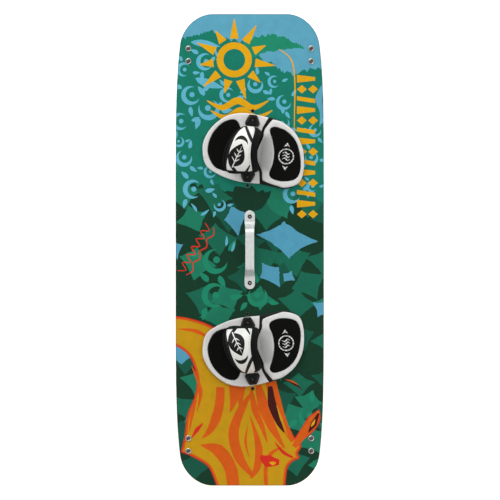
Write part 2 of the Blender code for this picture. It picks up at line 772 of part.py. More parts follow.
def build_bindings():
    anchors = [Matrix.Translation((0, end * ANCHOR_Y, 0)) for end in ENDS.values()]
    base_plate = drilled(plate(smooth_loop(PLATE_OUTLINE), PLATE_LOW, PLATE_HIGH), anchors, M6_HOLE)
    place_pair("base_plate", base_plate, NYLON_BLACK)

    toe = pad_mesh(TOE_OUTLINE, TOE_LOW, TOE_HIGH, TOE_INLAY_OUTLINE, TOE_EDGE)
    place_pair("toe_pad", drilled(toe, anchors, M6_HOLE), PAD_WHITE)
    inlay_floor = TOE_HIGH - INLAY_DEPTH + FIT_GAP
    inlay = plate(smooth_loop(TOE_INLAY_OUTLINE), inlay_floor, TOE_HIGH + INLAY_PROUD)
    place_pair("toe_inlay", inlay, EVA_BLACK)

    heel = pad_mesh(HEEL_OUTLINE, HEEL_LOW, HEEL_HIGH, HEEL_INLAY_OUTLINE, HEEL_EDGE)
    place_pair("heel_pad", heel, PAD_WHITE)
    inlay_floor = HEEL_HIGH - INLAY_DEPTH + FIT_GAP
    inlay = plate(smooth_loop(HEEL_INLAY_OUTLINE), inlay_floor, HEEL_HIGH + INLAY_PROUD)
    place_pair("heel_inlay", inlay, EVA_BLACK)

    liner_outside = BAND_THICKNESS + FIT_GAP
    liner = strap_layer((0, 0), liner_outside, liner_outside + LINER_THICKNESS)
    place_pair("strap_liner", smooth(liner), NEOPRENE, STRAP_PIVOT)
    band = strap_layer((BAND_INSET, BAND_INSET), 0, BAND_THICKNESS)
    place_pair("strap_band", smooth(band), WEBBING, STRAP_PIVOT)
    cover = strap_layer(
        (COVER_TOE_INSET, COVER_HEEL_INSET), -FIT_GAP - COVER_THICKNESS, -FIT_GAP, COVER_FIRST, COVER_LAST
    )
    place_pair("strap_cover", smooth(cover), COVER_PRINT, cover_hinge()[0])

    cap = anchor_cap()
    seat_z = TOE_HIGH + FIT_GAP
    head_z = seat_z + CAP_HEIGHT - CAP_WELL_DEPTH + FIT_GAP
    screw = socket_screw(ANCHOR_SCREW_HEAD, M6_RADIUS, head_z + ANCHOR_SCREW_REACH, ANCHOR_SCREW_SOCKET)
    for side_name, side in SIDES.items():
        for end_name, end in ENDS.items():
            frame = anchor_frame(side, end)
            facing = Matrix.Rotation(0 if side * end > 0 else math.pi, 4, "Z")
            seat = frame @ Matrix.Translation((0, 0, seat_z)) @ facing
            place(f"{side_name}_anchor_cap_{end_name}", cap, NYLON_BLACK, seat)
            head = frame @ Matrix.Translation((0, 0, head_z))
            place(f"{side_name}_anchor_screw_{end_name}", screw, STAINLESS, head)


build_board()
build_insert_strips()
build_fins()
build_handle()
build_bindings()
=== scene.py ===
"""The looks of a twin-tip kiteboard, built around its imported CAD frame.

X runs from the toe edge to the heel edge, Y from tip to tip and Z up, in metres. Each binding is made
in its own frame (x towards the heel, y towards the tip, z off the deck) and mirrored for the left foot.
The shapes repeat the CAD's formulas with finer meshes, rounded edges, prints and stitching. A few of
them differ from the CAD, inside its box: the handle's strip is narrower between its feet, the straps
spread and bulge more near theirs, the covers are narrower, and the gap between the pads is wider.
Prints are drawn from above, in millimetres.
"""

import math
import random

import bmesh
import bpy
import numpy as np
from mathutils import Matrix, Vector
from mathutils.geometry import delaunay_2d_cdt


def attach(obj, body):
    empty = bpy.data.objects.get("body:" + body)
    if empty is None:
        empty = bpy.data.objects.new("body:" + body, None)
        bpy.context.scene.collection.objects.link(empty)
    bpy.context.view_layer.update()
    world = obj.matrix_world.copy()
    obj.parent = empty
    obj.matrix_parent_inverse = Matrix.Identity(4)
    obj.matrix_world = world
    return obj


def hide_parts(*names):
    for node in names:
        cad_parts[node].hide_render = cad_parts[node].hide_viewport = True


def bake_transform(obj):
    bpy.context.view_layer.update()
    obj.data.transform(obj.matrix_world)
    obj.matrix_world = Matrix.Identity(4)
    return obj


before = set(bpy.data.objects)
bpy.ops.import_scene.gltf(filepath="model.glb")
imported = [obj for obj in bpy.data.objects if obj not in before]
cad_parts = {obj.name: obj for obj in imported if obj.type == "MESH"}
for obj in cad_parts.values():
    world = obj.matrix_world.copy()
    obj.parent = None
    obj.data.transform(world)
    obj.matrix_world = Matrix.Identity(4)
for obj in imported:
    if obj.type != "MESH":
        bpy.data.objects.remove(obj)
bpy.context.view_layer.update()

MM = 0.001

# ---- Board, fins and handle ------------------------------------------------------------------

HALF_LENGTH = 0.670
HALF_WIDTH = 0.2105
SIDE_BOW = 0.028
SIDE_BOW_POWER = 5.8
CORNER_LENGTH = 0.086
CORNER_WIDTH = 0.076
ROCKER = 0.036
CONCAVE = 0.002
CROWN = 0.004
CROWN_POWER = 6
THICKNESS_MIDDLE = 0.0115
THICKNESS_TIP = 0.0085
SKIN = 0.0012
GLUE = 0.0003
RAIL_WIDTH = 0.010
RIM_SHADE_AND_WEAR = 0.004  # width of the rim's painted shade and of its scuffs
RIM_ROUND, RIM_DROP = 0.0010, 0.0005  # the deck's softened edge
SPARE_HOLE_RADIUS = 0.0053

FIN_X = 0.1745
FIN_FROM_TIP = 0.116
FIN_DEPTH = 0.045
FIN_ROOT = 0.108
FIN_FOOT = 0.046
FIN_THICKNESS = 0.008
FIN_SEAT_GAP = 0.0005
FIN_LEVELS = (0.0, 0.02, 0.05, 0.1, 0.17, 0.26, 0.38, 0.52, 0.68, 0.85, 1.0)
FIN_SCREW_SPACING = 0.036
FIN_HEAD_Z = 0.0016

HANDLE_HALF_LENGTH = 0.112
HANDLE_FOOT = 0.034
HANDLE_SLOPE = 0.028
HANDLE_RISE = 0.030
HANDLE_HALF_WIDTH = 0.0126
HANDLE_FOOT_HALF_WIDTH = 0.0148
HANDLE_THICKNESS = 0.0035
HANDLE_CORNER = 0.0011
HANDLE_SEAT_GAP = 0.0005
HANDLE_SCREW_Y = 0.0945

# Screw heads: radius, height and socket radius.
FIN_HEAD = (0.0045, 0.0026, 0.0018)
HANDLE_HEAD = (0.0060, 0.0032, 0.0023)
ANCHOR_HEAD = (0.0054, 0.0034, 0.0023)
# The cup washer's section in millimetres: radius and height.
WASHER_SECTION = [
    (3.2, 0.5), (8.3, 0.5), (8.6, 0.7), (8.55, 1.1), (8.2, 1.9), (7.5, 2.45), (6.6, 2.75),
    (5.9, 2.6), (5.3, 2.0), (5.0, 1.4), (3.2, 1.3),
]

# ---- Bindings --------------------------------------------------------------------------------

STANCE = 0.577
DUCK_ANGLE = math.radians(5.2)
BINDING_X = 0.001
ANCHOR_Y = 0.0815
INSERT_PITCH = 0.025
PLATE_LOW, PLATE_HIGH = 0.0013, 0.0043
PLATE_ROUND = 0.0009
INLAY_DEPTH = 0.004
INLAY_PROUD = 0.0008
INLAY_EDGE, INLAY_CROWN, INLAY_CROWN_REACH = 0.0016, 0.0003, 0.015
FIT_GAP = 0.0004
PAD_CROWN, PAD_CROWN_REACH = 0.0008, 0.022
LIP, LIP_DROP, LIP_REACH = 0.0012, 0.0006, 0.0018  # the rounded edge of a pad's pocket

STRAP_HALF_SPAN = 0.0617
BULGE_TOE, BULGE_HEEL = 0.0155, 0.0060
STRAP_FOOT_Z = 0.0190
STRAP_FOOT_HALF_WIDTH = 0.018
STRAP_RISE = 0.073
STRAP_TILT_ACROSS = 0.006
STRAP_TOE_REACH = 0.075
STRAP_HEEL_REACH = 0.021
HEEL_SPREAD, HEEL_SPREAD_START = (0.009, 0.012), 0.42
STRAP_SQUARENESS = 2.3
STRAP_SKEW = 1.5
STRAP_FLARE_POWER = 0.7
SHOULDER_SHARE, SHOULDER_POWER = 0.34, 1.3
EDGE_TAPER, EDGE_TAPER_RISE = 0.4, 2.0
BLEND_BELOW, BLEND_ABOVE = 0.001, 0.016  # heights just below and above the strap's foot
BAND_THICKNESS = 0.0022
BAND_INSETS = (0.010, 0.018)
BAND_GAP = 0.0001
LINER_THICKNESS, LINER_GAP = 0.0065, 0.0002
PIPING, PIPING_DEPTH = 0.0032, 0.0010  # radius and depth of the rolled toe edge
ROLL, ROLL_SWELL = 0.0195, 0.0046  # width and height of the padded roll along the heel edge
HEEL_SINK, TOE_LIFT = 0.0022, 0.0016
COVER_THICKNESS, COVER_PUFF = 0.0024, 0.0011
COVER_INSETS = (0.0060, 0.0195)
COVER_FIRST, COVER_LAST = 1 / 24, 22 / 24
COVER_COLUMNS = 74
COVER_END_STEPS = (0.0016, 0.0038, 0.0070)
COVER_ROWS = (
    0.02, 0.04, 0.055, 0.07, 0.095, 0.13, 0.18, 0.24, 0.31, 0.38, 0.46,
    0.54, 0.62, 0.69, 0.76, 0.82, 0.87, 0.905, 0.93, 0.945, 0.96, 0.98,
)
SEAM_ROWS = (0.055, 1 - 0.055)  # shares of the cover's width
SEAM_GROOVE_WIDTH, SEAM_GROOVE_DEPTH = 0.022, 0.0005
CREASE_PLACES, CREASE_SPREAD, CREASE_COUNT = (0.15, 0.83), 0.055, 24
CREASE_HEIGHT, SLACK_HEIGHT = 0.0004, 0.0004
STITCH_LENGTH, STITCH_GAP, STITCH_THICKNESS = 0.0032, 0.0016, 0.00032

# Outlines in millimetres: runs of points, with a corner where two runs meet.
TOE_OUTLINE = [
    [(45, 92), (-20, 99), (-70, 88), (-106, 60), (-128, 25), (-135, -10),
     (-122, -57), (-85, -81), (-30, -96), (36, -98)],
    [(36, -98), (31, -62), (19, -38), (12, -18), (17, 8), (26, 34), (29, 58), (45, 92)],
]
HEEL_OUTLINE = [
    [(44, -87), (60, -93), (84, -98.5), (110, -102), (147, -85),
     (157, -45), (150, 10), (125, 54), (88, 81), (57, 88)],
    [(57, 88), (37, 58), (34, 34), (25, 8), (20, -18), (27, -38), (39, -62), (41, -78), (44, -87)],
]
PLATE_OUTLINE = [
    [(50, 92), (-20, 96), (-68, 85), (-103, 58), (-125, 24), (-132, -10), (-119, -55),
     (-84, -78), (-30, -93), (38, -99), (75, -103), (110, -106), (140, -92), (154, -56),
     (149, 8), (124, 51), (88, 79), (50, 92)],
]
TOE_INLAY_OUTLINE = [
    [(-42, 72), (-58, 77), (-84, 65), (-107, 37), (-118, 5), (-117, -27),
     (-98, -58), (-70, -69), (-35, -70), (-8, -52), (2, -12), (-8, 30), (-30, 52), (-42, 72)],
]
HEEL_INLAY_OUTLINE = [
    [(52, 56), (63, 26), (70, -8), (68, -41), (61, -66), (71, -79), (98, -84), (128, -78),
     (143, -64), (147, -34), (138, 9), (122, 39), (95, 60), (64, 67), (52, 56)],
]
CAP_OUTLINE = [(-18, -17.8), (18, -17.8), (21.5, -9), (16, 5), (10, 15), (-10, 15), (-16, 5), (-21.5, -9)]
CAP_HEIGHT = 0.012
CAP_TOP_SCALE = 0.72
CAP_STEEP_Y = -0.0170
CAP_CORNER = 0.0016
CAP_WELL_RADIUS, CAP_WELL_DEPTH, CAP_WELL_EDGE = 0.0060, 0.0055, 0.0006

# Each pad's outline, its inlay's outline, its lowest and highest level, and its edge's radius.
PADS = {
    "toe": (TOE_OUTLINE, TOE_INLAY_OUTLINE, 0.0046, 0.0130, 0.0045),
    "heel": (HEEL_OUTLINE, HEEL_INLAY_OUTLINE, 0.0046, 0.0200, 0.0060),
}
TOE_HIGH = PADS["toe"][3]

SIDES = {"right": 1, "left": -1}
ENDS = {"outer": 1, "inner": -1}
FIN_CORNERS = {"right_toe": (-1, 1), "right_heel": (1, 1), "left_toe": (-1, -1), "left_heel": (1, -1)}

BOARD_SHARE = 0.943  # of the picture's height

# ---- Colours (sRGB) --------------------------------------------------------------------------

SKY = (88, 158, 182)
LIGHT_BLUE = (92, 172, 196)
SEA_BLUE = (80, 152, 180)
MID_GREEN = (19, 117, 97)
RIDGE_GREEN = (28, 132, 100)
DARK_GREEN = (17, 56, 38)
TEAL = (22, 100, 78)
FERN = (27, 118, 90)
DEEP_TEAL = (20, 84, 66)
YELLOW = (219, 160, 14)
MUSTARD = (194, 146, 16)
ORANGE = (208, 88, 18)
RED = (207, 44, 26)
MAROON = (65, 21, 20)
PAD_WHITE = (214, 213, 211)
# painted shade: the grey of the strap's shadow on the heel pads' arch
PAD_SHADE_GREY = (166, 167, 166)
INK_BLACK = (14, 15, 13)
STRAP_WHITE = (224, 224, 219)
# the deck's dark edge colour: on its wall, and as painted shade along its rim
EDGE_INK_AND_SHADE = (24, 44, 46)
SCUFF = (205, 210, 208)
SOIL = (214, 206, 202)
# painted shade in the grip tread's grooves
GROOVE_SHADE = (150, 150, 150)
LAMINATE = (38, 40, 38)
BASE_EDGE = (30, 30, 30)
LINING = (46, 46, 48)

# The two tones that a material varies between.
ABS_TONES = (26, 27, 28), (78, 80, 80)
WOOD_TONES = (196, 160, 112), (214, 182, 136)
NYLON_TONES = (9, 9, 9), (26, 25, 25)
KNIT_TONES = (6, 6, 7), (17, 17, 18)
WEBBING_TONES = (12, 12, 12), (32, 32, 31)
THREAD_TONES = (26, 26, 25), (52, 51, 49)
FIN_TONES = (16, 17, 18), (46, 48, 50)
FLOOR_TONES = (246, 246, 246), (250, 250, 250)


def linear(colour):
    """An sRGB colour in 0..255 as linear RGBA."""
    shares = [c / 255 for c in colour]
    return [s / 12.92 if s <= 0.04045 else ((s + 0.055) / 1.055) ** 2.4 for s in shares] + [1.0]


# ---- Materials -------------------------------------------------------------------------------


class Finish:
    """A material under construction, with short calls for the nodes that these finishes use."""

    def __init__(self, name, **sockets):
        self.material = bpy.data.materials.new(name)
        self.material.use_nodes = True
        self.tree = self.material.node_tree
        self.shader = self.tree.nodes["Principled BSDF"]
        self.set(**{"specular_ior_level": 0.28, **sockets})
        self.place = self.add("ShaderNodeTexCoord").outputs["Object"]

    def set(self, **sockets):
        """Sets the shader's sockets, such as base_color, to values or links, and gives the material."""
        for name, value in sockets.items():
            self.fill(self.shader.inputs[name.replace("_", " ").title().replace("Ior", "IOR")], value)
        return self.material

    def fill(self, socket, value):
        if isinstance(value, bpy.types.NodeSocket):
            self.tree.links.new(value, socket)
        else:
            socket.default_value = value

    def add(self, kind, inputs=(), **settings):
        node = self.tree.nodes.new(kind)
        for name, value in settings.items():
            setattr(node, name, value)
        for key, value in dict(inputs).items():
            self.fill(node.inputs[key], value)
        return node

    def mapped(self, stretch=(1, 1, 1), turn=0.0):
        return self.add("ShaderNodeMapping", {
            "Vector": self.place, "Scale": stretch, "Rotation": (0, 0, turn),
        }).outputs["Vector"]

    def noise(self, scale, detail=3.0, stretch=(1, 1, 1), turn=0.0):
        return self.add("ShaderNodeTexNoise", {
            "Vector": self.mapped(stretch, turn), "Scale": scale, "Detail": detail,
        }).outputs["Fac"]

    def cells(self, scale):
        return self.add("ShaderNodeTexVoronoi", {"Vector": self.place, "Scale": scale}).outputs["Distance"]

    def bands(self, scale, turn=0.0, distortion=0.0):
        return self.add("ShaderNodeTexWave", {
            "Vector": self.mapped(turn=turn), "Scale": scale, "Distortion": distortion,
        }).outputs["Fac"]

    def maths(self, operation, first, second):
        return self.add("ShaderNodeMath", {0: first, 1: second}, operation=operation).outputs[0]

    def between(self, share, low, high, start=0.0, end=1.0):
        """A number from low to high as share goes from start to end."""
        return self.add("ShaderNodeMapRange", {
            "Value": share, "From Min": start, "From Max": end, "To Min": low, "To Max": high,
        }).outputs["Result"]

    def mixed(self, share, first, second, blend="MIX"):
        node = self.add("ShaderNodeMix", data_type="RGBA", blend_type=blend)
        for socket, value in zip((node.inputs[0], node.inputs[6], node.inputs[7]), (share, first, second)):
            self.fill(socket, value)
        return node.outputs[2]

    def toned(self, share, tones):
        """From one tone to the other as share goes from 0 to 1."""
        return self.mixed(share, *(linear(tone) for tone in tones))

    def shaded(self, colour, share, low, high):
        """A colour made darker and lighter from place to place by a share."""
        grey = self.add("ShaderNodeCombineColor", {
            key: self.between(share, low, high, 0.3, 0.7) for key in ("Red", "Green", "Blue")
        }).outputs[0]
        return self.mixed(1.0, colour, grey, "MULTIPLY")

    def attribute(self, name, output="Color"):
        return self.add("ShaderNodeAttribute", attribute_name=name).outputs[output]

    def bump(self, height, distance, strength=0.6, under=None):
        node = self.add("ShaderNodeBump", {"Height": height, "Distance": distance, "Strength": strength})
        if under is not None:
            self.fill(node.inputs["Normal"], under)
        return node.outputs["Normal"]


def printed_sheet(name):
    """Ink under a clear satin coat, with faint mottling, orange peel, scuffs near the rim and a painted shade
    along the rim where the edge rolls off.
    """
    made = Finish(name, coat_weight=0.03, coat_roughness=0.08, specular_ior_level=0.14)
    ink = made.shaded(made.attribute("print"), made.noise(45, 5), 0.94, 1.05)
    fine = made.shaded(ink, made.noise(1400, 2), 0.96, 1.03)
    scuff = made.maths("MULTIPLY", made.attribute("rim", "Fac"), made.noise(260, 5, (1, 0.15, 1)))
    worn = made.between(scuff, 0.0, 0.35, 0.46, 0.62)
    # painted shade: the print darkens to the edge colour along the rim, where the edge rolls off
    rim_shade_share = made.between(made.attribute("rim", "Fac"), 0.0, 0.8, 0.45, 0.85)
    ink_with_rim_shade = made.mixed(rim_shade_share, fine, linear(EDGE_INK_AND_SHADE))
    return made.set(
        base_color=made.mixed(worn, ink_with_rim_shade, linear(SCUFF)),
        roughness=made.between(made.noise(70, 4), 0.24, 0.42),
        normal=made.bump(made.noise(420, 2), 0.00004, 0.5),
    )


def abs_edge():
    """Milled ABS side wall: saw marks along the rail, and greyed knocks."""
    made = Finish("abs_side_wall")
    marks = made.noise(900, 2, (1, 0.04, 1))
    knocks = made.between(made.noise(38, 6), 0.0, 0.6, 0.56, 0.74)
    return made.set(
        base_color=made.toned(knocks, ABS_TONES),
        roughness=made.between(marks, 0.38, 0.6),
        normal=made.bump(marks, 0.00008, 0.5),
    )


def wood():
    """Paulownia strips glued side by side, with open grain along the board."""
    made = Finish("paulownia_strips")
    grain = made.noise(220, 6, (1, 0.05, 1))
    tone = made.toned(made.bands(6.5, distortion=0.4), WOOD_TONES)
    return made.set(
        base_color=made.shaded(tone, grain, 0.8, 1.1),
        roughness=made.between(grain, 0.55, 0.75),
        normal=made.bump(grain, 0.0001, 0.5),
    )


def metal(name, colour, rough, stretch=(1, 1, 1), scale=900):
    """Bare or coated metal whose polish runs along one direction, with a few handling marks."""
    made = Finish(name, metallic=1.0)
    polish = made.noise(scale, 3, stretch)
    marks = made.noise(120, 4)
    return made.set(
        base_color=made.shaded(linear(colour), marks, 0.92, 1.05),
        roughness=made.between(polish, *rough, 0.3, 0.7),
        normal=made.bump(polish, 0.00003, 0.5),
    )


def moulded_nylon():
    """Moulded plastic with a fine spark-eroded grain and rubbed patches."""
    made = Finish("black_nylon")
    grain = made.noise(1100, 2)
    rubbed = made.between(made.noise(90, 5), 0.0, 0.5, 0.55, 0.75)
    return made.set(
        base_color=made.toned(rubbed, NYLON_TONES),
        roughness=made.between(grain, 0.26, 0.42, 0.3, 0.7),
        normal=made.bump(grain, 0.00006),
    )


def moulded_foam():
    """The pads' white foam: a closed skin with tiny cells, fine ribs on the heel arch's painted shade, a
    little soiling.
    """
    made = Finish("white_pad_foam")
    cells = made.cells(900)
    soil = made.between(made.noise(55, 6), 0.0, 0.45, 0.52, 0.8)
    tone = made.shaded(made.attribute("print"), made.noise(25, 3), 0.96, 1.03)
    # the ribs follow the grey of the arch's painted shade, read from the print attribute
    shaded_arch_share = made.between(made.attribute("print", "Fac"), 1.0, 0.0, 0.42, 0.62)
    ribs = made.maths("MULTIPLY", made.bands(260, math.radians(35)), shaded_arch_share)
    ribbed = made.shaded(tone, made.between(ribs, 0.62, 0.44), 0.92, 1.03)
    return made.set(
        base_color=made.mixed(soil, ribbed, made.mixed(1.0, ribbed, linear(SOIL), "MULTIPLY")),
        roughness=made.between(cells, 0.5, 0.68, 0.1, 0.6),
        normal=made.bump(ribs, 0.00025, under=made.bump(cells, 0.00008, 0.5)),
    )


def grip_foam():
    """The black grip inlays: a diamond tread cut in grained EVA, with painted shade in its grooves."""
    made = Finish("black_grip_foam", specular_ior_level=0.08)
    tread = made.maths("MINIMUM", made.bands(45, math.pi / 4), made.bands(45, -math.pi / 4))
    grain = made.noise(1500, 3)
    groove = made.between(tread, 0.0, 1.0, 0.05, 0.35)
    tone = made.shaded(made.attribute("print"), made.noise(60, 4), 0.85, 1.15)
    return made.set(
        # painted shade: the tread's grooves are darkened
        base_color=made.mixed(groove, made.mixed(1.0, tone, linear(GROOVE_SHADE), "MULTIPLY"), tone),
        roughness=made.between(grain, 0.78, 0.95),
        normal=made.bump(groove, 0.00035, 0.5, made.bump(grain, 0.00008)),
    )


def knitted():
    """Knitted nylon over neoprene: rows of small loops with a soft nap."""
    made = Finish("knitted_neoprene", sheen_weight=0.04, sheen_roughness=0.5, specular_ior_level=0.1)
    loops = made.maths("MULTIPLY", made.bands(330), made.bands(330, math.pi / 2))
    nap = made.noise(700)
    return made.set(
        base_color=made.toned(nap, KNIT_TONES),
        roughness=made.between(nap, 0.75, 0.95),
        normal=made.bump(loops, 0.00018),
    )


def woven():
    """Black polyester webbing in a twill."""
    made = Finish("woven_webbing", sheen_weight=0.08)
    twill = made.maths("MAXIMUM", made.bands(260, math.pi / 4), made.bands(130, -math.pi / 4))
    return made.set(
        base_color=made.toned(twill, WEBBING_TONES),
        roughness=made.between(twill, 0.65, 0.85),
        normal=made.bump(twill, 0.0002, 0.7),
    )


def coated_cloth():
    """The strap covers: printed synthetic leather over a fine weave, soiled a little by boots and sand."""
    made = Finish("printed_strap_cloth", coat_weight=0.04, coat_roughness=0.35, specular_ior_level=0.14)
    weave = made.maths("ADD", made.bands(420), made.bands(420, math.pi / 2))
    grain = made.cells(650)
    return made.set(
        base_color=made.shaded(made.attribute("print"), made.noise(60, 5), 0.93, 1.03),
        roughness=made.between(grain, 0.38, 0.56, 0.1, 0.6),
        normal=made.bump(grain, 0.0001, 0.45, made.bump(weave, 0.00005, 0.4)),
    )


def thread():
    """Bonded sewing thread: two plies twisted together."""
    made = Finish("sewing_thread", sheen_weight=0.1)
    plies = made.bands(900, math.pi / 5)
    return made.set(
        base_color=made.toned(plies, THREAD_TONES),
        roughness=made.between(plies, 0.5, 0.7),
        normal=made.bump(plies, 0.0001),
    )


def fibre_glass():
    """Fins in black glass-filled nylon: short fibres showing in a satin skin."""
    made = Finish("glass_filled_nylon")
    fibres = made.noise(500, 4, (1, 0.2, 0.6), 0.4)
    return made.set(
        base_color=made.toned(made.between(fibres, 0.0, 0.5, 0.5, 0.75), FIN_TONES),
        roughness=made.between(fibres, 0.32, 0.5),
        normal=made.bump(fibres, 0.00006, 0.5),
    )


FINISHES = {
    "deck": printed_sheet("printed_deck_sheet"),
    "base": printed_sheet("printed_base_sheet"),
    "rail": abs_edge(),
    "wood": wood(),
    "steel": metal("turned_stainless", (196, 195, 190), (0.16, 0.30)),
    "black_steel": metal("black_oxide_steel", (62, 48, 45), (0.3, 0.5)),
    "oxide": metal("polished_black_oxide", (24, 23, 23), (0.3, 0.5)),
    "dull_steel": metal("dull_stainless", (96, 95, 92), (0.3, 0.45)),
    "aluminium": metal("satin_aluminium", (230, 232, 231), (0.5, 0.64), (1, 0.05, 1), 1300),
    "nylon": moulded_nylon(),
    "fin": fibre_glass(),
    "pad": moulded_foam(),
    "grip": grip_foam(),
    "neoprene": knitted(),
    "webbing": woven(),
    "cover": coated_cloth(),
    "thread": thread(),
}

# ---- Making pieces ---------------------------------------------------------------------------


def add_piece(mesh, finish, body, node, name=None, place=Matrix()):
    """A piece that rides on a body and stands for a CAD node, and has its mesh's name if it gets no other."""
    obj = bpy.data.objects.new(name or mesh.name, mesh)
    bpy.context.scene.collection.objects.link(obj)
    if not mesh.materials:
        mesh.materials.append(FINISHES[finish])
    obj.matrix_world = place
    if body:
        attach(obj, body)
    if node:
        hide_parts(node)
    return obj


def smooth_mesh(name, points, faces, sharp=math.radians(40)):
    mesh = bpy.data.meshes.new(name)
    mesh.from_pydata([tuple(p) for p in points], [], faces)
    mesh.shade_smooth()
    if sharp:
        mesh.set_sharp_from_angle(angle=sharp)
    return mesh


def catmull_rom(before, start, end, after, t):
    return 0.5 * (
        2 * start + (end - before) * t + (2 * before - 5 * start + 4 * end - after) * t**2
        + (3 * start - before - 3 * end + after) * t**3
    )


def curve_through(points, steps, closed=False):
    """Points along the smooth curve through a run of points."""
    points = [np.array(p, float) for p in points]
    if closed:
        points = [*points, points[0]]
    last = len(points) - 1
    made = []
    for i in range(last):
        before = points[i - 1] if i else points[last - 1] if closed else points[0]
        after = points[i + 2] if i + 2 <= last else points[1] if closed else points[last]
        made += [catmull_rom(before, points[i], points[i + 1], after, s / steps) for s in range(steps)]
    return made if closed else [*made, points[last]]


def smooth_loop(runs, steps=6, scale=MM):
    """A closed outline: curved along each run of points, with a corner where two runs meet."""
    if len(runs) == 1:
        return [p * scale for p in curve_through(runs[0][:-1], steps, closed=True)]
    return [p * scale for run in runs for p in curve_through(run, steps)[:-1]]


def grown(outline, distance):
    """An anticlockwise outline moved outwards by a distance."""
    loop = np.array(outline)
    along = np.roll(loop, -1, 0) - np.roll(loop, 1, 0)
    along /= np.linalg.norm(along, axis=1)[:, None]
    return loop + distance * np.stack([along[:, 1], -along[:, 0]], 1)


BATCH = 2000  # points that are measured at a time, to spare memory


def edge_distance(points, outline):
    """How far each point is from an outline: positive inside it and negative outside."""
    start = np.array(outline)
    side = np.roll(start, -1, 0) - start
    found = np.empty(len(points))
    for first in range(0, len(points), BATCH):
        p = points[first:first + BATCH, None, :]
        t = np.clip(((p - start) * side).sum(2) / (side**2).sum(1), 0, 1)
        found[first:first + BATCH] = np.linalg.norm(p - start - t[..., None] * side, axis=2).min(1)
    return np.where(within(points, outline), found, -found)


def within(points, loop):
    """Which points a loop holds. Where a loop crosses itself, the doubled part counts as outside."""
    start = np.array(loop)
    end = np.roll(start, -1, 0)
    side = end - start
    rise = np.where(side[:, 1] == 0, 1, side[:, 1])
    held = np.zeros(len(points), bool)
    near = np.flatnonzero(((points >= start.min(0)) & (points <= start.max(0))).all(1))
    for first in range(0, len(near), BATCH):
        p = points[near[first:first + BATCH], None, :]
        level = (start[:, 1] > p[..., 1]) != (end[:, 1] > p[..., 1])
        left = p[..., 0] < start[:, 0] + (p[..., 1] - start[:, 1]) * side[:, 0] / rise
        held[near[first:first + BATCH]] = (level & left).sum(1) % 2 == 1
    return held


def fill_points(outline, spacing, rings):
    """Points inside an outline: rings at some distances in from it, and a grid over the rest."""
    loop = np.array(outline)
    sets = []
    for distance in rings:
        ring = grown(loop, -distance)
        sets.append(ring[edge_distance(ring, loop) > 0.96 * distance])
    low, high = loop.min(0), loop.max(0)
    xs = np.arange(low[0], high[0], spacing)
    ys = np.arange(low[1], high[1], spacing)
    grid = np.array([(x + (j % 2) * spacing / 2, y) for j, y in enumerate(ys) for x in xs])
    sets.append(grid[edge_distance(grid, loop) > max(rings) + 0.5 * spacing])
    return [tuple(p) for s in sets for p in s]


def finely(loop, longest):
    """A loop with points added so that no side of it is longer than a length."""
    made = []
    for here, after in zip(loop, [*loop[1:], loop[0]]):
        pieces = max(1, math.ceil(math.dist(here, after) / longest))
        made += [(here[0] + (after[0] - here[0]) * i / pieces, here[1] + (after[1] - here[1]) * i / pieces)
                 for i in range(pieces)]
    return made


def cut_plan(loops, painted, loose):
    """Triangles inside the first loop, with edges along all loops. Each comes with the number of the last
    of the painted loops that holds it, or 0."""
    plan = [Vector(p) for loop in loops for p in loop] + [Vector(p) for p in loose]
    edges, first = [], 0
    for loop in loops:
        edges += [(first + i, first + (i + 1) % len(loop)) for i in range(len(loop))]
        first += len(loop)
    flat, _, triangles, *_ = delaunay_2d_cdt(plan, edges, [], 0, 1e-6)
    flat, triangles = np.array(flat), np.array(triangles)
    middles = flat[triangles].mean(1)
    paint = np.zeros(len(triangles), int)
    for number, loop in enumerate(loops[1:1 + painted], 1):
        paint[within(middles, loop)] = number
    inside = within(middles, loops[0])
    return flat, triangles[inside], paint[inside]


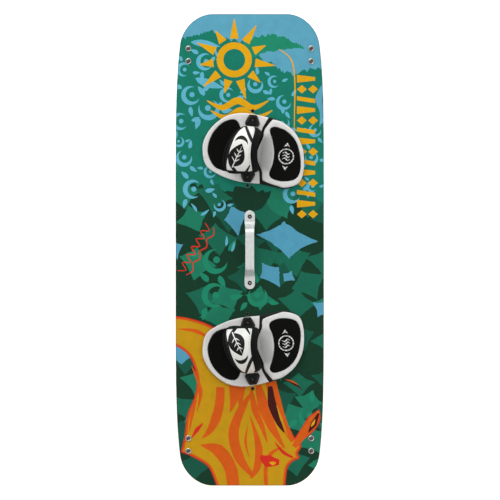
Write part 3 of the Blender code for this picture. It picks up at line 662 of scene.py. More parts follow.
def sheet_solid(name, outline, top, bottom, shapes=(), loose=(), holes=(), ground=PAD_WHITE,
                wall=None, flip=False, exact=True, rim=None, longest=1.0, plain=(None, None), creases=()):
    """A closed solid over a plan outline. top and bottom turn plan points into the points of its two
    faces. shapes are (colour, loop) pairs, painted in order; ground is a colour, or gives one per point;
    plain holds the colours of a top and a bottom face without the print; the mesh has edges along the
    creases."""
    loops = [np.array(finely(loop, longest)) for loop in (
        outline, *[loop for _, loop in shapes], *holes, *creases)]
    flat, triangles, paint = cut_plan(loops, len(shapes) + len(holes), loose)
    keep = paint <= len(shapes)
    used, corners = np.unique(triangles[keep], return_inverse=True)
    corners, paint, points = corners.reshape(-1, 3), paint[keep], flat[used]
    ahead, aside = (points[corners[:, k]] - points[corners[:, 0]] for k in (1, 2))
    clockwise = ahead[:, 0] * aside[:, 1] - ahead[:, 1] * aside[:, 0] < 0
    corners[clockwise] = corners[clockwise][:, [0, 2, 1]]

    tones = ground(points) if callable(ground) else np.tile(linear(ground), (len(points), 1))
    over = tones[corners]
    for number, (colour, _) in enumerate(shapes, 1):
        over[paint == number] = linear(colour)
    colours = [over, over[:, ::-1].copy()]
    for side, tone in zip(colours, plain):
        if tone:
            side[:] = linear(tone)
    tops = corners.tolist()
    edges = [edge for a, b, c in tops for edge in ((a, b), (b, c), (c, a))]
    twins = set(edges)
    bare = [(a, b) for a, b in edges if (b, a) not in twins]
    colours.append(np.array([[linear(wall) if wall else tones[a]] * 4 for a, _ in bare]))
    count = len(points)
    faces = tops + [[c + count, b + count, a + count] for a, b, c in tops]
    faces += [[a, a + count, b + count, b] for a, b in bare]
    if flip:
        faces = [face[::-1] for face in faces]
        colours = [side[:, ::-1] for side in colours]

    mesh = smooth_mesh(name, np.concatenate([top(points), bottom(points)]), faces)
    layer = mesh.color_attributes.new("print", "FLOAT_COLOR", "CORNER")
    layer.data.foreach_set("color", np.concatenate([side.reshape(-1) for side in colours]).astype(np.float32))
    if rim:
        shares = np.clip(1 - edge_distance(points, outline) / rim, 0, 1)
        layer = mesh.attributes.new("rim", "FLOAT", "POINT")
        layer.data.foreach_set("value", np.concatenate([shares, shares]).astype(np.float32))
    if exact:
        set_normals(mesh, points, top, faces, len(tops), flip)
    return mesh


def set_normals(mesh, points, top, faces, tops, flip):
    """Shades the top face by its surface's own slope, so that thin triangles of the print don't show."""
    step = 0.0004
    dx, dy = np.array([step, 0]), np.array([0, step])
    slope = np.cross(top(points + dx) - top(points - dx), top(points + dy) - top(points - dy))
    slope /= np.linalg.norm(slope, axis=1)[:, None] * (-1 if flip else 1)
    mesh.update()
    made = [tuple(slope[v]) for face in faces[:tops] for v in face]
    made += [tuple(face.normal) for face in list(mesh.polygons)[tops:] for _ in face.vertices]
    mesh.normals_split_custom_set(made)


def lofted(name, sections, sharp=math.radians(40)):
    """A closed mesh through sections of the same number of points."""
    count, last = len(sections[0]), len(sections) - 1
    faces = []
    for i in range(last):
        for j in range(count):
            k = (j + 1) % count
            faces.append((i * count + j, i * count + k, (i + 1) * count + k, (i + 1) * count + j))
    faces += [tuple(reversed(range(count))), tuple(range(last * count, (last + 1) * count))]
    return outward(smooth_mesh(name, [p for section in sections for p in section], faces, sharp))


def outward(mesh):
    """Turns a closed mesh's faces outwards."""
    solid = bmesh.new()
    solid.from_mesh(mesh)
    if solid.calc_volume(signed=True) < 0:
        mesh.flip_normals()
    solid.free()
    return mesh


def turned(name, profile, steps):
    """A solid of revolution about Z. Each row of the profile is (radius, height) or (radius, height,
    "hex") for a six-sided ring."""
    sections = []
    for radius, height, *shape in profile:
        ring = []
        for i in range(steps):
            angle = 2 * math.pi * i / steps
            reach = radius
            if shape:
                into = (angle % (math.pi / 3)) - math.pi / 6
                reach = radius * math.cos(math.pi / 6) / math.cos(into)
            ring.append((reach * math.cos(angle), reach * math.sin(angle), height))
        sections.append(ring)
    return lofted(name, sections)


# ---- Board surfaces --------------------------------------------------------------------------


def half_width(y, inset=0.0):
    side = HALF_WIDTH - SIDE_BOW * (abs(y) / HALF_LENGTH) ** SIDE_BOW_POWER - inset
    into_corner = (abs(y) - HALF_LENGTH + CORNER_LENGTH) / (CORNER_LENGTH - inset)
    if into_corner <= 0:
        return side
    return side - (CORNER_WIDTH - inset) * (1 - math.sqrt(max(0, 1 - into_corner**2)))


def board_outline(inset=0.0, side_steps=34, corner_steps=18):
    """The board's plan outline, anticlockwise, moved inwards by inset."""
    corner_start = HALF_LENGTH - CORNER_LENGTH
    ys = [corner_start * i / side_steps for i in range(side_steps)]
    ys += [
        corner_start + (CORNER_LENGTH - inset) * math.sin(math.pi / 2 * i / corner_steps)
        for i in range(corner_steps + 1)
    ]
    quarter = [(half_width(y, inset), y) for y in ys]
    tip_x, tip_y = quarter[-1]
    tip = [(tip_x * s, tip_y) for s in np.linspace(0.9, -0.9, 19)]
    upper = quarter + tip + [(-x, y) for x, y in reversed(quarter)]
    return upper + [(-x, -y) for x, y in upper[1:-1]]


def rocker(y):
    return ROCKER * (y / HALF_LENGTH) ** 2


BASE_MIDDLE_Z = FIN_DEPTH - rocker(HALF_LENGTH - FIN_FROM_TIP)


def base_z(x, y):
    return BASE_MIDDLE_Z + rocker(y) + CONCAVE * (1 - (x / HALF_WIDTH) ** 2)


def deck_z(x, y):
    thickness = THICKNESS_MIDDLE - (THICKNESS_MIDDLE - THICKNESS_TIP) * (y / HALF_LENGTH) ** 2
    return BASE_MIDDLE_Z + rocker(y) + thickness - CROWN * (abs(x) / HALF_WIDTH) ** CROWN_POWER


def raised(height, lift=0.0):
    """Turns a height over plan points into a surface for sheet_solid."""
    return lambda p: np.column_stack([p, height(p[:, 0], p[:, 1]) + lift])


def deck_frame(x, y):
    """A place on the deck with Z square to it."""
    across = Vector((2 * MM, 0, deck_z(x + MM, y) - deck_z(x - MM, y))).normalized()
    ahead = Vector((0, 2 * MM, deck_z(x, y + MM) - deck_z(x, y - MM)))
    up = across.cross(ahead).normalized()
    turn = Matrix((across, up.cross(across), up)).transposed().to_4x4()
    return Matrix.Translation((x, y, deck_z(x, y))) @ turn


def binding_frame(side):
    return deck_frame(BINDING_X, side * STANCE / 2) @ Matrix.Rotation(-side * DUCK_ANGLE, 4, "Z")


def anchor_frame(side, end):
    return binding_frame(side) @ Matrix.Translation((0, side * end * ANCHOR_Y, 0))


def spare_thread(side, end):
    """Where the unused thread of an insert strip comes up through the deck."""
    used = anchor_frame(side, end).translation
    return used.x, used.y + side * end * INSERT_PITCH


# ---- Print shapes ----------------------------------------------------------------------------


def circle(x, y, radius, steps):
    return [(x + radius * math.cos(2 * math.pi * i / steps), y + radius * math.sin(2 * math.pi * i / steps))
            for i in range(steps)]


def turned_points(points, x, y, angle, size=1.0):
    c, s = math.cos(angle), math.sin(angle)
    return [(x + size * (c * px - s * py), y + size * (s * px + c * py)) for px, py in points]


def leaf(x, y, length, width, angle, bend=0.2, steps=9):
    """A pointed leaf from (x, y), bent to one side."""
    sides = []
    for sign in (-1, 1):
        row = []
        for i in range(steps + 1):
            t = i / steps
            half = sign * 0.5 * width * math.sin(math.pi * t**0.8) ** 0.9
            row.append((length * t, half + bend * length * t * t))
        sides.append(row)
    return turned_points(sides[0] + sides[1][-2:0:-1], x, y, angle)


def foliage(x, y, width, height, turn, seed):
    """An angular clump of leaves: a four-cornered patch with hollow, uneven sides."""
    chance = random.Random(seed)
    corners = [(0.5, 0.12), (-0.04, 0.5), (-0.5, 0.06), (0.06, -0.5)]
    corners = [(width * (a + 0.12 * (chance.random() - 0.5)), height * (b + 0.12 * (chance.random() - 0.5)))
               for a, b in corners]
    loop = []
    for (ax, ay), (bx, by) in zip(corners, [*corners[1:], corners[0]]):
        hollow = 0.39 + 0.09 * chance.random()
        side = curve_through([(ax, ay), (hollow * (ax + bx), hollow * (ay + by)), (bx, by)], 5)[:-1]
        loop += [(px * (1 + 0.10 * (chance.random() - 0.5)), py * (1 + 0.10 * (chance.random() - 0.5)))
                 for px, py in side]
    return turned_points(loop, x, y, turn)


def ripple(x, y, size, angle):
    """An open ring round a drop, with three darts outside it, like rain on water."""
    parts = [crescent(0, 0, 0.38, 0.22, math.radians(20), math.radians(265)), circle(0.02, 0.0, 0.12, 12)]
    for k in range(3):
        turn = math.radians(95 + 118 * k)
        parts.append(leaf(0.53 * math.cos(turn), 0.53 * math.sin(turn), 0.46, 0.22, turn, 0.25, 5))
    return [turned_points(part, x, y, angle, size) for part in parts]


def stroke(points, widths, steps=5):
    """A brush stroke along a smooth line, as wide as widths say from start to end."""
    line = np.array(curve_through(points, steps))
    along = np.gradient(line, axis=0)
    along /= np.linalg.norm(along, axis=1)[:, None]
    across = np.stack([-along[:, 1], along[:, 0]], 1)
    half = 0.5 * np.interp(np.linspace(0, 1, len(line)), np.linspace(0, 1, len(widths)), widths)[:, None]
    return [tuple(p) for p in np.concatenate([line - half * across, (line + half * across)[::-1]])]


def crescent(x, y, radius, thickness, start, sweep, steps=18, squash=1.0):
    """A moon shape: an arc that is thickest at its middle and pointed at both ends."""
    outer, inner = [], []
    for i in range(steps + 1):
        t = i / steps
        angle = start + sweep * t
        half = 0.5 * thickness * math.sin(math.pi * t)
        for row, reach in ((outer, radius + half), (inner, radius - half)):
            row.append((x + reach * math.cos(angle), y + squash * reach * math.sin(angle)))
    return outer + inner[-2:0:-1]


def ragged(points, roughness, seed, pieces=9):
    """A line with small uneven teeth, like the edge of foliage."""
    chance = random.Random(seed)
    line = []
    for (ax, ay), (bx, by) in zip(points, points[1:]):
        for i in range(pieces):
            t = (i + 0.5 * chance.random()) / pieces
            line.append((ax + (bx - ax) * t, ay + (by - ay) * t + roughness * (chance.random() - 0.5)))
    return line + [points[-1]]


def inked(colour, loops):
    return [(colour, loop) for loop in loops]


WIDE = 1.1 * HALF_WIDTH / MM  # past the sides of the board


def hills():
    """Sky at the tip, two wooded ridges, and the forest floor that darkens towards the middle."""
    left = ragged([(-WIDE, 556), (-185, 604), (-140, 616), (-105, 622), (-70, 600), (0, 585)], 14, 1)
    ridge = ragged([(-20, 588), (20, 606), (60, 612), (100, 602), (135, 586), (160, 574)], 9, 2)
    under_ridge = ragged([(160, 572), (100, 570), (50, 562), (0, 545)], 7, 6)
    right = ragged([(60, 535), (85, 512), (120, 498), (160, 508), (WIDE, 528)], 12, 3)
    return [
        (SKY, [(WIDE, 700), (WIDE, 350), (-WIDE, 350), (-WIDE, 700)]),
        (MID_GREEN, [(-WIDE, 100), (WIDE, 100), (WIDE, 400), (150, 400), *reversed(left)]),
        (RIDGE_GREEN, [*ridge, *under_ridge, (-20, 545)][::-1]),
        (MID_GREEN, [(0, 100), (WIDE, 100), *reversed(right), (0, 515)]),
        (LIGHT_BLUE, leaf(-168, 590, 85, 20, -0.05, -0.1)),
        (LIGHT_BLUE, leaf(-155, 488, 85, 24, -0.45, 0.12)),
        (SKY, stroke([(208, 470), (196, 430), (204, 390), (199, 350)], [4, 20, 10, 2])),
    ]


def forest():
    """The dark lower forest with angular teal foliage, paler rings and blue leaves."""
    run = [(-WIDE, 150), (-150, 185), (-90, 160), (-20, 185), (50, 165), (120, 150), (WIDE, 135)]
    edge = ragged(run, 22, 4)
    made = [(DARK_GREEN, [(-WIDE, -700), (WIDE, -700), *reversed(edge)])]
    chance = random.Random(11)
    for row in range(14):
        for column in range(5):
            if chance.random() < 0.18:
                continue
            x = -195 + 93 * column + 46 * (row % 2) + 30 * (chance.random() - 0.5)
            y = 145 - 58 * row + 30 * (chance.random() - 0.5)
            size = 84 + 40 * chance.random()
            shape = foliage(x, y, size, 0.80 * size, 0.8 * (chance.random() - 0.5), 100 * row + column)
            made.append(((TEAL, FERN, DEEP_TEAL)[int(3 * chance.random())], shape))
    for place in ((-95, -30, 82, 1.2), (-98, -130, 80, 0.4), (22, -130, 66, 2.1), (170, -470, 70, 1.9)):
        made += inked(RIDGE_GREEN, ripple(*place))
    patches = [
        (-40, 84, 70, 88, 0.15), (106, 26, 178, 94, -0.12), (58, -70, 64, 84, 0.5), (112, -77, 40, 40, 0.9),
        (-212, 3, 50, 56, 0.2), (206, -168, 60, 48, -0.6), (-196, -298, 85, 62, -0.2),
    ]
    made += inked(SEA_BLUE, (foliage(*patch, 40 + number) for number, patch in enumerate(patches)))
    for x, y, turn in ((-68, 10, 1.3), (-52, -6, 1.1), (-140, 98, 0.4), (-150, 108, 2.0)):
        made.append((LIGHT_BLUE, leaf(x, y, 30, 8, turn)))
    return made


def water_rings():
    """Light blue ripple motifs scattered over the green hillside."""
    places = [
        (-125, 535, 56, 0.7), (-78, 566, 50, 2.2), (-186, 512, 46, 0.2), (-165, 440, 62, 0.9),
        (-118, 402, 70, 2.4), (-62, 440, 50, 0.3), (-196, 365, 56, 0.6), (-186, 262, 54, 1.6),
        (-160, 172, 62, 0.4), (98, 420, 50, 1.2), (92, 360, 50, 2.0), (122, 158, 58, 0.9),
        (175, 262, 44, 2.3), (-202, 308, 34, 2.6), (16, 470, 52, 1.9), (-112, 222, 40, 1.1),
        (70, 478, 40, 0.6), (-86, 128, 40, 2.5), (186, 340, 42, 1.4), (178, 180, 36, 0.5),
    ]
    return inked(LIGHT_BLUE, (loop for place in places for loop in ripple(*place)))


def sun_emblem():
    """A plain sun over two waves, in bold yellow strokes."""
    x, y = -44, 540
    made = [(YELLOW, circle(x, y, 50, 36)), (MID_GREEN, circle(x, y, 31, 30))]
    rays = 11
    for i in range(rays):
        reach = 98 if i % 2 else 116
        ray = [(60, 12.5), (60, -12.5), (reach, -1.2), (reach, 1.2)]
        made.append((YELLOW, turned_points(ray, x, y, math.radians(90 + 360 / rays * i))))
    for k in range(2):
        crest = [(-122 + 44 * i + 10 * k, 414 - 28 * k + 10 * (-1) ** i) for i in range(5)]
        made.append((YELLOW, stroke(crest, [2, 16, 20, 16, 2], 8)))
    return made


def side_border():
    """A column of yellow teeth and lozenges beside a thin line, down the heel side."""
    line = [(84, 570), (118, 540), (128, 480), (127, 380), (126, 300)]
    tooth = [(0, 11), (0, -11), (52, -5), (52, 5)]
    lozenge = [(0, 0), (14, -12), (28, 0), (14, 12)]
    slanted = [(0, 10), (0, -2), (52, -10), (52, 2)]
    loops = [stroke(line, [2, 4, 4, 3, 2], 8)]
    for i in range(14):
        marks = (((134, tooth),), ((166, lozenge), (134, lozenge)), ((134, slanted),))[i % 3]
        loops += [turned_points(mark, x, 486 - 29.6 * i, 0) for x, mark in marks]
    return inked(YELLOW, loops)


def red_zigzag():
    """Two loose red zigzag strokes on the toe side."""
    made = []
    for offset, height, count in ((0, 11, 13), (20, 6, 9)):
        points = []
        for i in range(count):
            t, sway = i / (count - 1), height * (-1) ** i
            points.append((-196 + 78 * t + offset - 0.8 * sway, -64 + 135 * t - 0.5 * offset + 0.45 * sway))
        made.append((RED, stroke(points, [2.6, 4.2, 2.6], 3)))
    return made


def flames():
    """Flames that rise from the left tip: a red and orange rim, a mustard body, streaks and dark embers."""
    body = [
        [(-235, -186), (-165, -196), (-95, -224), (-30, -280),
         (20, -330), (68, -378), (82, -412), (88, -437)],
        [(88, -437), (106, -490), (128, -535)],
        [(128, -535), (148, -505), (168, -474), (198, -454)],
        [(198, -454), (201, -480), (188, -508), (163, -532), (144, -546)],
        [(144, -546), (146, -562), (137, -578), (141, -592), (122, -602), (106, -626), (100, -700)],
        [(100, -700), (0, -720), (-85, -700)],
        [(-85, -700), (-100, -655), (-120, -615), (-160, -590), (-196, -575)],
        [(-196, -575), (-186, -530), (-178, -470), (-158, -420), (-150, -370),
         (-165, -315), (-190, -285), (-235, -262)],
        [(-235, -262), (-235, -186)],
    ]
    outline = smooth_loop(body, 7, 1)[::-1]
    streaks = [
        ([(-83, -390), (-86, -436), (-96, -478), (-114, -514), (-136, -536)], [24, 26, 28, 18, 1]),
        ([(-140, -555), (-90, -570), (-55, -620), (-45, -690)], [1, 36, 36, 34]),
        ([(-42, -370), (-44, -420), (-56, -462)], [40, 26, 1]),
        ([(-22, -380), (-26, -420), (-30, -448)], [26, 16, 1]),
        ([(10, -400), (-22, -450), (-46, -520), (-30, -590), (6, -640)], [1, 22, 30, 28, 10]),
        ([(0, -470), (16, -520), (26, -570), (20, -620), (2, -650)], [1, 12, 22, 20, 4]),
        ([(4, -395), (14, -450), (36, -505), (50, -550)], [6, 20, 14, 1]),
        ([(-6, -500), (-12, -545), (-2, -590)], [1, 8, 1]),
        ([(-172, -520), (-164, -470), (-150, -425)], [1, 10, 1]),
        ([(24, -385), (40, -445), (64, -505), (100, -565)], [16, 34, 24, 2]),
        ([(95, -560), (60, -580), (45, -625), (50, -700)], [1, 12, 12, 10]),
        ([(-205, -225), (-150, -232), (-100, -262)], [1, 12, 1]),
        ([(-165, -330), (-140, -400), (-150, -460)], [1, 12, 1]),
        ([(126, -560), (156, -518), (194, -464)], [14, 24, 6]),
        ([(60, -375), (72, -430), (94, -490), (122, -545)], [30, 34, 24, 10]),
    ]
    embers = [
        (MAROON, [(58, -388), (64, -440), (82, -490), (98, -520)], [12, 24, 16, 1]),
        (MUSTARD, [(76, -440), (90, -482), (108, -528)], [1, 7, 1]),
        (MAROON, [(166, -520), (182, -494), (196, -464)], [1, 17, 4]),
        (YELLOW, [(174, -503), (180, -494), (186, -482)], [1, 8, 1]),
        (RED, [(-166, -536), (-150, -512), (-132, -492)], [1, 13, 1]),
        (RED, [(30, -586), (52, -600), (84, -604)], [6, 36, 14]),
        (YELLOW, [(56, -604), (66, -607), (74, -605)], [2, 12, 2]),
        (RED, [(70, -545), (95, -575), (122, -590)], [1, 10, 6]),
        (MAROON, [(105, -372), (128, -382), (150, -398)], [1, 7, 1]),
        (ORANGE, [(100, -368), (120, -374), (138, -384)], [1, 5, 1]),
    ]
    return [
        (RED, outline), (ORANGE, grown(outline, -3)), (MUSTARD, grown(outline, -8)),
        *inked(ORANGE, (stroke(points, widths, 7) for points, widths in streaks)),
        *[(colour, stroke(points, widths, 6)) for colour, points, widths in embers],
    ]


def emblem():
    """A plain ring with three wind strokes in it, in the middle of the heel inlay."""
    x, y = 104, -13
    made = [(STRAP_WHITE, circle(x, y, 22.5, 40)), (INK_BLACK, circle(x, y, 19, 36))]
    for row in (y - 8.5, y, y + 8.5):
        run = [(x - 11, row), (x - 3, row + 3.5), (x + 4, row - 2), (x + 11, row + 1)]
        made.append((STRAP_WHITE, stroke(run, [0.6, 3.6, 3.6, 0.6], 6)))
    for k in (-1, 1):
        tip = [(x + k * 8.5, y - k * 27), (x, y - k * 30.5), (x - k * 8.5, y - k * 27), (x, y - k * 40)]
        made.append((STRAP_WHITE, tip))
    return made


def in_metres(shapes):
    return [(colour, np.array(loop) * MM) for colour, loop in shapes]


# ---- Board -----------------------------------------------------------------------------------


def softened(distance, reach, drop):
    """How far an edge falls away, at distances in from it."""
    return drop * np.clip(1 - distance / reach, 0, 1) ** 2


def build_deck():
    outline = board_outline()
    holes = [circle(*spare_thread(side, end), SPARE_HOLE_RADIUS, 20)
             for side in SIDES.values() for end in ENDS.values()]
    near_edge = [p for inset in (0.012, 0.022, 0.036, 0.052) for p in board_outline(inset)]
    inside = [(x * MM, y * MM) for y in range(-600, 601, 24) for x in range(-144, 145, 24)]
    shapes = hills() + forest() + water_rings() + sun_emblem() + side_border() + red_zigzag() + flames()

    def top(p):
        drop = softened(edge_distance(p, outline), RIM_ROUND, RIM_DROP)
        return np.column_stack([p, deck_z(p[:, 0], p[:, 1]) - drop])

    mesh = sheet_solid(
        "printed_deck", outline, top, raised(deck_z, -SKIN), in_metres(shapes), near_edge + inside,
        holes, MID_GREEN, wall=EDGE_INK_AND_SHADE, rim=RIM_SHADE_AND_WEAR, longest=0.012,
        creases=[board_outline(inset) for inset in (0.4 * RIM_ROUND, RIM_ROUND, 0.5 * RIM_SHADE_AND_WEAR, RIM_SHADE_AND_WEAR)],
    )
    add_piece(mesh, "deck", "board", "top_sheet")


def build_base():
    """The base's skin, in a plainer form of the deck's scheme. Its face on the core is bare laminate."""
    outline = board_outline()
    shapes = [(MUSTARD, [(-WIDE, -700), (WIDE, -700), (WIDE, -200), (-WIDE, 50)])]
    for y in (-160, -260, -360, -460):
        line = [(-WIDE, y + 120), (-50, y), (80, y + 20), (WIDE, y - 120)]
        shapes.append((ORANGE, stroke(line, [30, 45, 20, 50], 8)))
    shapes.append((SKY, [(WIDE, 700), (-WIDE, 700), (-WIDE, 300), (WIDE, 520)]))
    inside = [(x * MM, y * MM) for y in range(-640, 641, 32) for x in range(-140, 141, 35)]
    near_edge = [p for inset in (0.012, 0.035) for p in board_outline(inset, 20, 10)]
    mesh = sheet_solid(
        "printed_base", outline, raised(base_z, SKIN), raised(base_z), in_metres(shapes),
        near_edge + inside, (), TEAL, wall=BASE_EDGE, longest=0.03, plain=(LAMINATE, None),
    )
    add_piece(mesh, "base", "board", "base_sheet")


def build_rail():
    mesh = sheet_solid(
        "side_wall", board_outline(), raised(deck_z, -SKIN - GLUE / 2), raised(base_z, SKIN + GLUE / 2),
        holes=[board_outline(RAIL_WIDTH)], ground=INK_BLACK, exact=False,
    )
    add_piece(mesh, "rail", "board", "edge_rail")


def dress_inner_parts():
    """The core and the inserts keep their CAD shape."""
    for node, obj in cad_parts.items():
        finish = "wood" if node == "wood_core" else "dull_steel" if "insert" in node else None
        if finish:
            obj.data.materials.clear()
            obj.data.materials.append(FINISHES[finish])


# ---- Fins and fasteners ----------------------------------------------------------------------


def screw_mesh(name, radius, height, socket):
    """A button head with a hex socket and a short shank under it."""
    return turned(name, [
        (0.45 * radius, -2.2 * MM), (0.5 * radius, -2.0 * MM), (0.5 * radius, 0), (0.97 * radius, 0),
        (radius, 0.12 * height), (radius, 0.35 * height), (0.96 * radius, 0.60 * height),
        (0.86 * radius, 0.82 * height), (0.70 * radius, 0.96 * height), (0.58 * radius, height),
        (1.12 * socket, height), (socket, 0.94 * height, "hex"), (socket, 0.35 * height, "hex"),
        (0.25 * socket, 0.28 * height),
    ], 48)


def glint_socket_screw(name, head, coating, bare):
    """A coated screw with its socket in lighter bare steel: a painted glint in the middle of its head."""
    mesh = screw_mesh(name, *head)
    socket = head[2]
    mesh.materials.append(FINISHES[coating])
    mesh.materials.append(FINISHES[bare])
    for face in mesh.polygons:
        # painted highlight: the socket's faces take the lighter steel, standing in for the head's glint
        if math.hypot(face.center.x, face.center.y) < 1.1 * socket:
            face.material_index = 1
    return mesh


def build_fin_fasteners():
    washer = turned("cup_washer", [(radius * MM, height * MM) for radius, height in WASHER_SECTION], 56)
    screw = screw_mesh("fin_screw", *FIN_HEAD)
    for name, (across, along) in FIN_CORNERS.items():
        centre = along * (HALF_LENGTH - FIN_FROM_TIP)
        for number, shift in ((1, 0.5), (2, -0.5)):
            place = deck_frame(across * FIN_X, centre + along * shift * FIN_SCREW_SPACING)
            head = place @ Matrix.Translation((0, 0, FIN_HEAD_Z))
            add_piece(washer, "steel", "board", f"{name}_fin_washer_{number}",
                      f"{name}_cup_washer_{number}", place)
            add_piece(screw, "dull_steel", "board", f"{name}_fin_screw_{number}",
                      f"{name}_button_screw_{number}", head)


def fin_section(x, centre, share, steps=24):
    """A fin's section at a share of the way up to its root: a long lens across its chord."""
    half_chord = FIN_FOOT / 2 + (FIN_ROOT - FIN_FOOT) / 2 * math.sqrt(1 - (1 - share) ** 2)
    half_thick = FIN_THICKNESS / 2 * (0.35 + 0.65 * min(1, 4 * share))
    points = []
    for sign in (1, -1):
        for i in range(steps):
            c = -math.cos(math.pi * i / steps) * sign
            y = centre + half_chord * c
            thick = half_thick * (1 - abs(c) ** 2.6) ** 0.62
            points.append((x + sign * thick, y, share * (base_z(x, y) - FIN_SEAT_GAP)))
    return points


def build_fins():
    for name, (across, along) in FIN_CORNERS.items():
        centre = along * (HALF_LENGTH - FIN_FROM_TIP)
        sections = [fin_section(across * FIN_X, centre, share) for share in FIN_LEVELS]
        mesh = lofted(f"{name}_blade", sections, math.radians(50))
        add_piece(mesh, "fin", "board", f"{name}_fin")


# ---- Grab handle -----------------------------------------------------------------------------


def handle_rise(y):
    share = min(1, max(0, (HANDLE_HALF_LENGTH - HANDLE_FOOT - abs(y)) / HANDLE_SLOPE))
    return HANDLE_RISE * share * share * (3 - 2 * share)


def handle_reach(y):
    """Half the handle's width at y, with its rounded ends."""
    into_end = max(0, abs(y) - (HANDLE_HALF_LENGTH - HANDLE_FOOT_HALF_WIDTH))
    if into_end:
        return math.sqrt(max(0.0, HANDLE_FOOT_HALF_WIDTH**2 - into_end**2))
    slope_end = HANDLE_HALF_LENGTH - HANDLE_FOOT - HANDLE_SLOPE
    share = min(1, max(0, (abs(y) - slope_end) / HANDLE_SLOPE))
    return HANDLE_HALF_WIDTH + (HANDLE_FOOT_HALF_WIDTH - HANDLE_HALF_WIDTH) * share


def handle_section(y):
    """A rounded rectangle across the strip, square to its run."""
    slope = (handle_rise(y + MM) - handle_rise(y - MM)) / (2 * MM)
    up = Vector((0, -slope, 1)).normalized()
    reach = max(handle_reach(y), HANDLE_CORNER + 0.1 * MM)
    half_thick = HANDLE_THICKNESS / 2
    middle = Vector((0, y, deck_z(0, y) + HANDLE_SEAT_GAP + handle_rise(y))) + up * half_thick
    points = []
    for turn, (side, lift) in enumerate(((1, 1), (-1, 1), (-1, -1), (1, -1))):
        for i in range(6):
            angle = math.pi / 2 * (turn + i / 5)
            x = side * (reach - HANDLE_CORNER) + HANDLE_CORNER * math.cos(angle)
            z = lift * (half_thick - HANDLE_CORNER) + HANDLE_CORNER * math.sin(angle)
            points.append(middle + Vector((x, 0, 0)) + up * z)
    return points


def build_handle():
    slope_start = HANDLE_HALF_LENGTH - HANDLE_FOOT
    slope_end = slope_start - HANDLE_SLOPE
    end_start = HANDLE_HALF_LENGTH - HANDLE_FOOT_HALF_WIDTH
    half = [slope_end * i / 6 for i in range(6)] + [slope_end + HANDLE_SLOPE * i / 14 for i in range(15)]
    half += [slope_start + (end_start - slope_start) * i / 4 for i in range(1, 4)]
    half += [end_start + HANDLE_FOOT_HALF_WIDTH * math.sin(math.pi / 2 * i / 12) for i in range(13)]
    half[-1] -= 0.02 * MM
    stations = [-y for y in reversed(half[1:])] + half
    mesh = lofted("grab_strip", [handle_section(y) for y in stations])
    add_piece(mesh, "aluminium", "board", "grab_handle")
    screw = glint_socket_screw("handle_button_screw", HANDLE_HEAD, "oxide", "steel")
    lift = Matrix.Translation((0, 0, HANDLE_SEAT_GAP + HANDLE_THICKNESS))
    for name, side in SIDES.items():
        add_piece(screw, None, "board", f"handle_screw_{name}",
                  f"handle_button_screw_{name}", deck_frame(0, side * HANDLE_SCREW_Y) @ lift)


# ---- Plates, pads and hoods ------------------------------------------------------------------


def to_world(side):
    """Turns points of the right binding's frame into world points, mirrored for the left foot."""
    place = np.array(binding_frame(1))

    def turn(points):
        moved = np.asarray(points) @ place[:3, :3].T + place[:3, 3]
        return moved * np.array([1, side, 1])

    return turn


def level(world, height):
    """A flat face of sheet_solid in a binding's frame."""
    return lambda p: world(np.column_stack([p, np.full(len(p), height)]))


def build_plate(side_name):
    """The nylon base plate, with a small round on its top edge."""
    world = to_world(SIDES[side_name])
    outline = smooth_loop(PLATE_OUTLINE)

    def top(p):
        drop = softened(edge_distance(p, outline), PLATE_ROUND, PLATE_ROUND)
        return world(np.column_stack([p, PLATE_HIGH - drop]))

    mesh = sheet_solid(
        f"{side_name}_binding_plate", outline, top, level(world, PLATE_LOW), (),
        fill_points(outline, 0.02, (0.0004, 0.0010)), (), INK_BLACK, flip=side_name == "left", exact=False,
    )
    add_piece(mesh, "nylon", "board", f"{side_name}_base_plate")


def dome(distance, low_edge, edge, crown, crown_reach):
    """Height below a pad's top at a distance in from its edge: a round shoulder, then a slow crown."""
    inside = np.clip(distance / edge, 0, 1)
    shoulder = low_edge * (1 - np.sqrt(1 - (1 - inside) ** 2))
    return shoulder + crown * np.exp(-np.clip(distance, 0, 1) / crown_reach)


def pad_painted_shade(points):
    """A painted shade on the heel pads' arch, where the strap's shadow falls: grey, darker towards the strap;
    their rims stay white.
    """
    x, y = points[:, 0] / MM, points[:, 1] / MM
    left_edge = 22 + 0.0035 * (y + 18) ** 2
    inside = np.clip((x - left_edge - 3) / 6, 0, 1) * np.clip((58 - np.abs(y + 8)) / 16, 0, 1)
    past_inlay = np.clip((72 - x) / 10, 0, 1)
    shade = np.clip(1 - (x - left_edge) / 46, 0, 1)
    share = (inside * past_inlay * (0.55 + 0.45 * shade))[:, None]
    return (1 - share) * np.array(linear(PAD_WHITE)) + share * np.array(linear(PAD_SHADE_GREY))


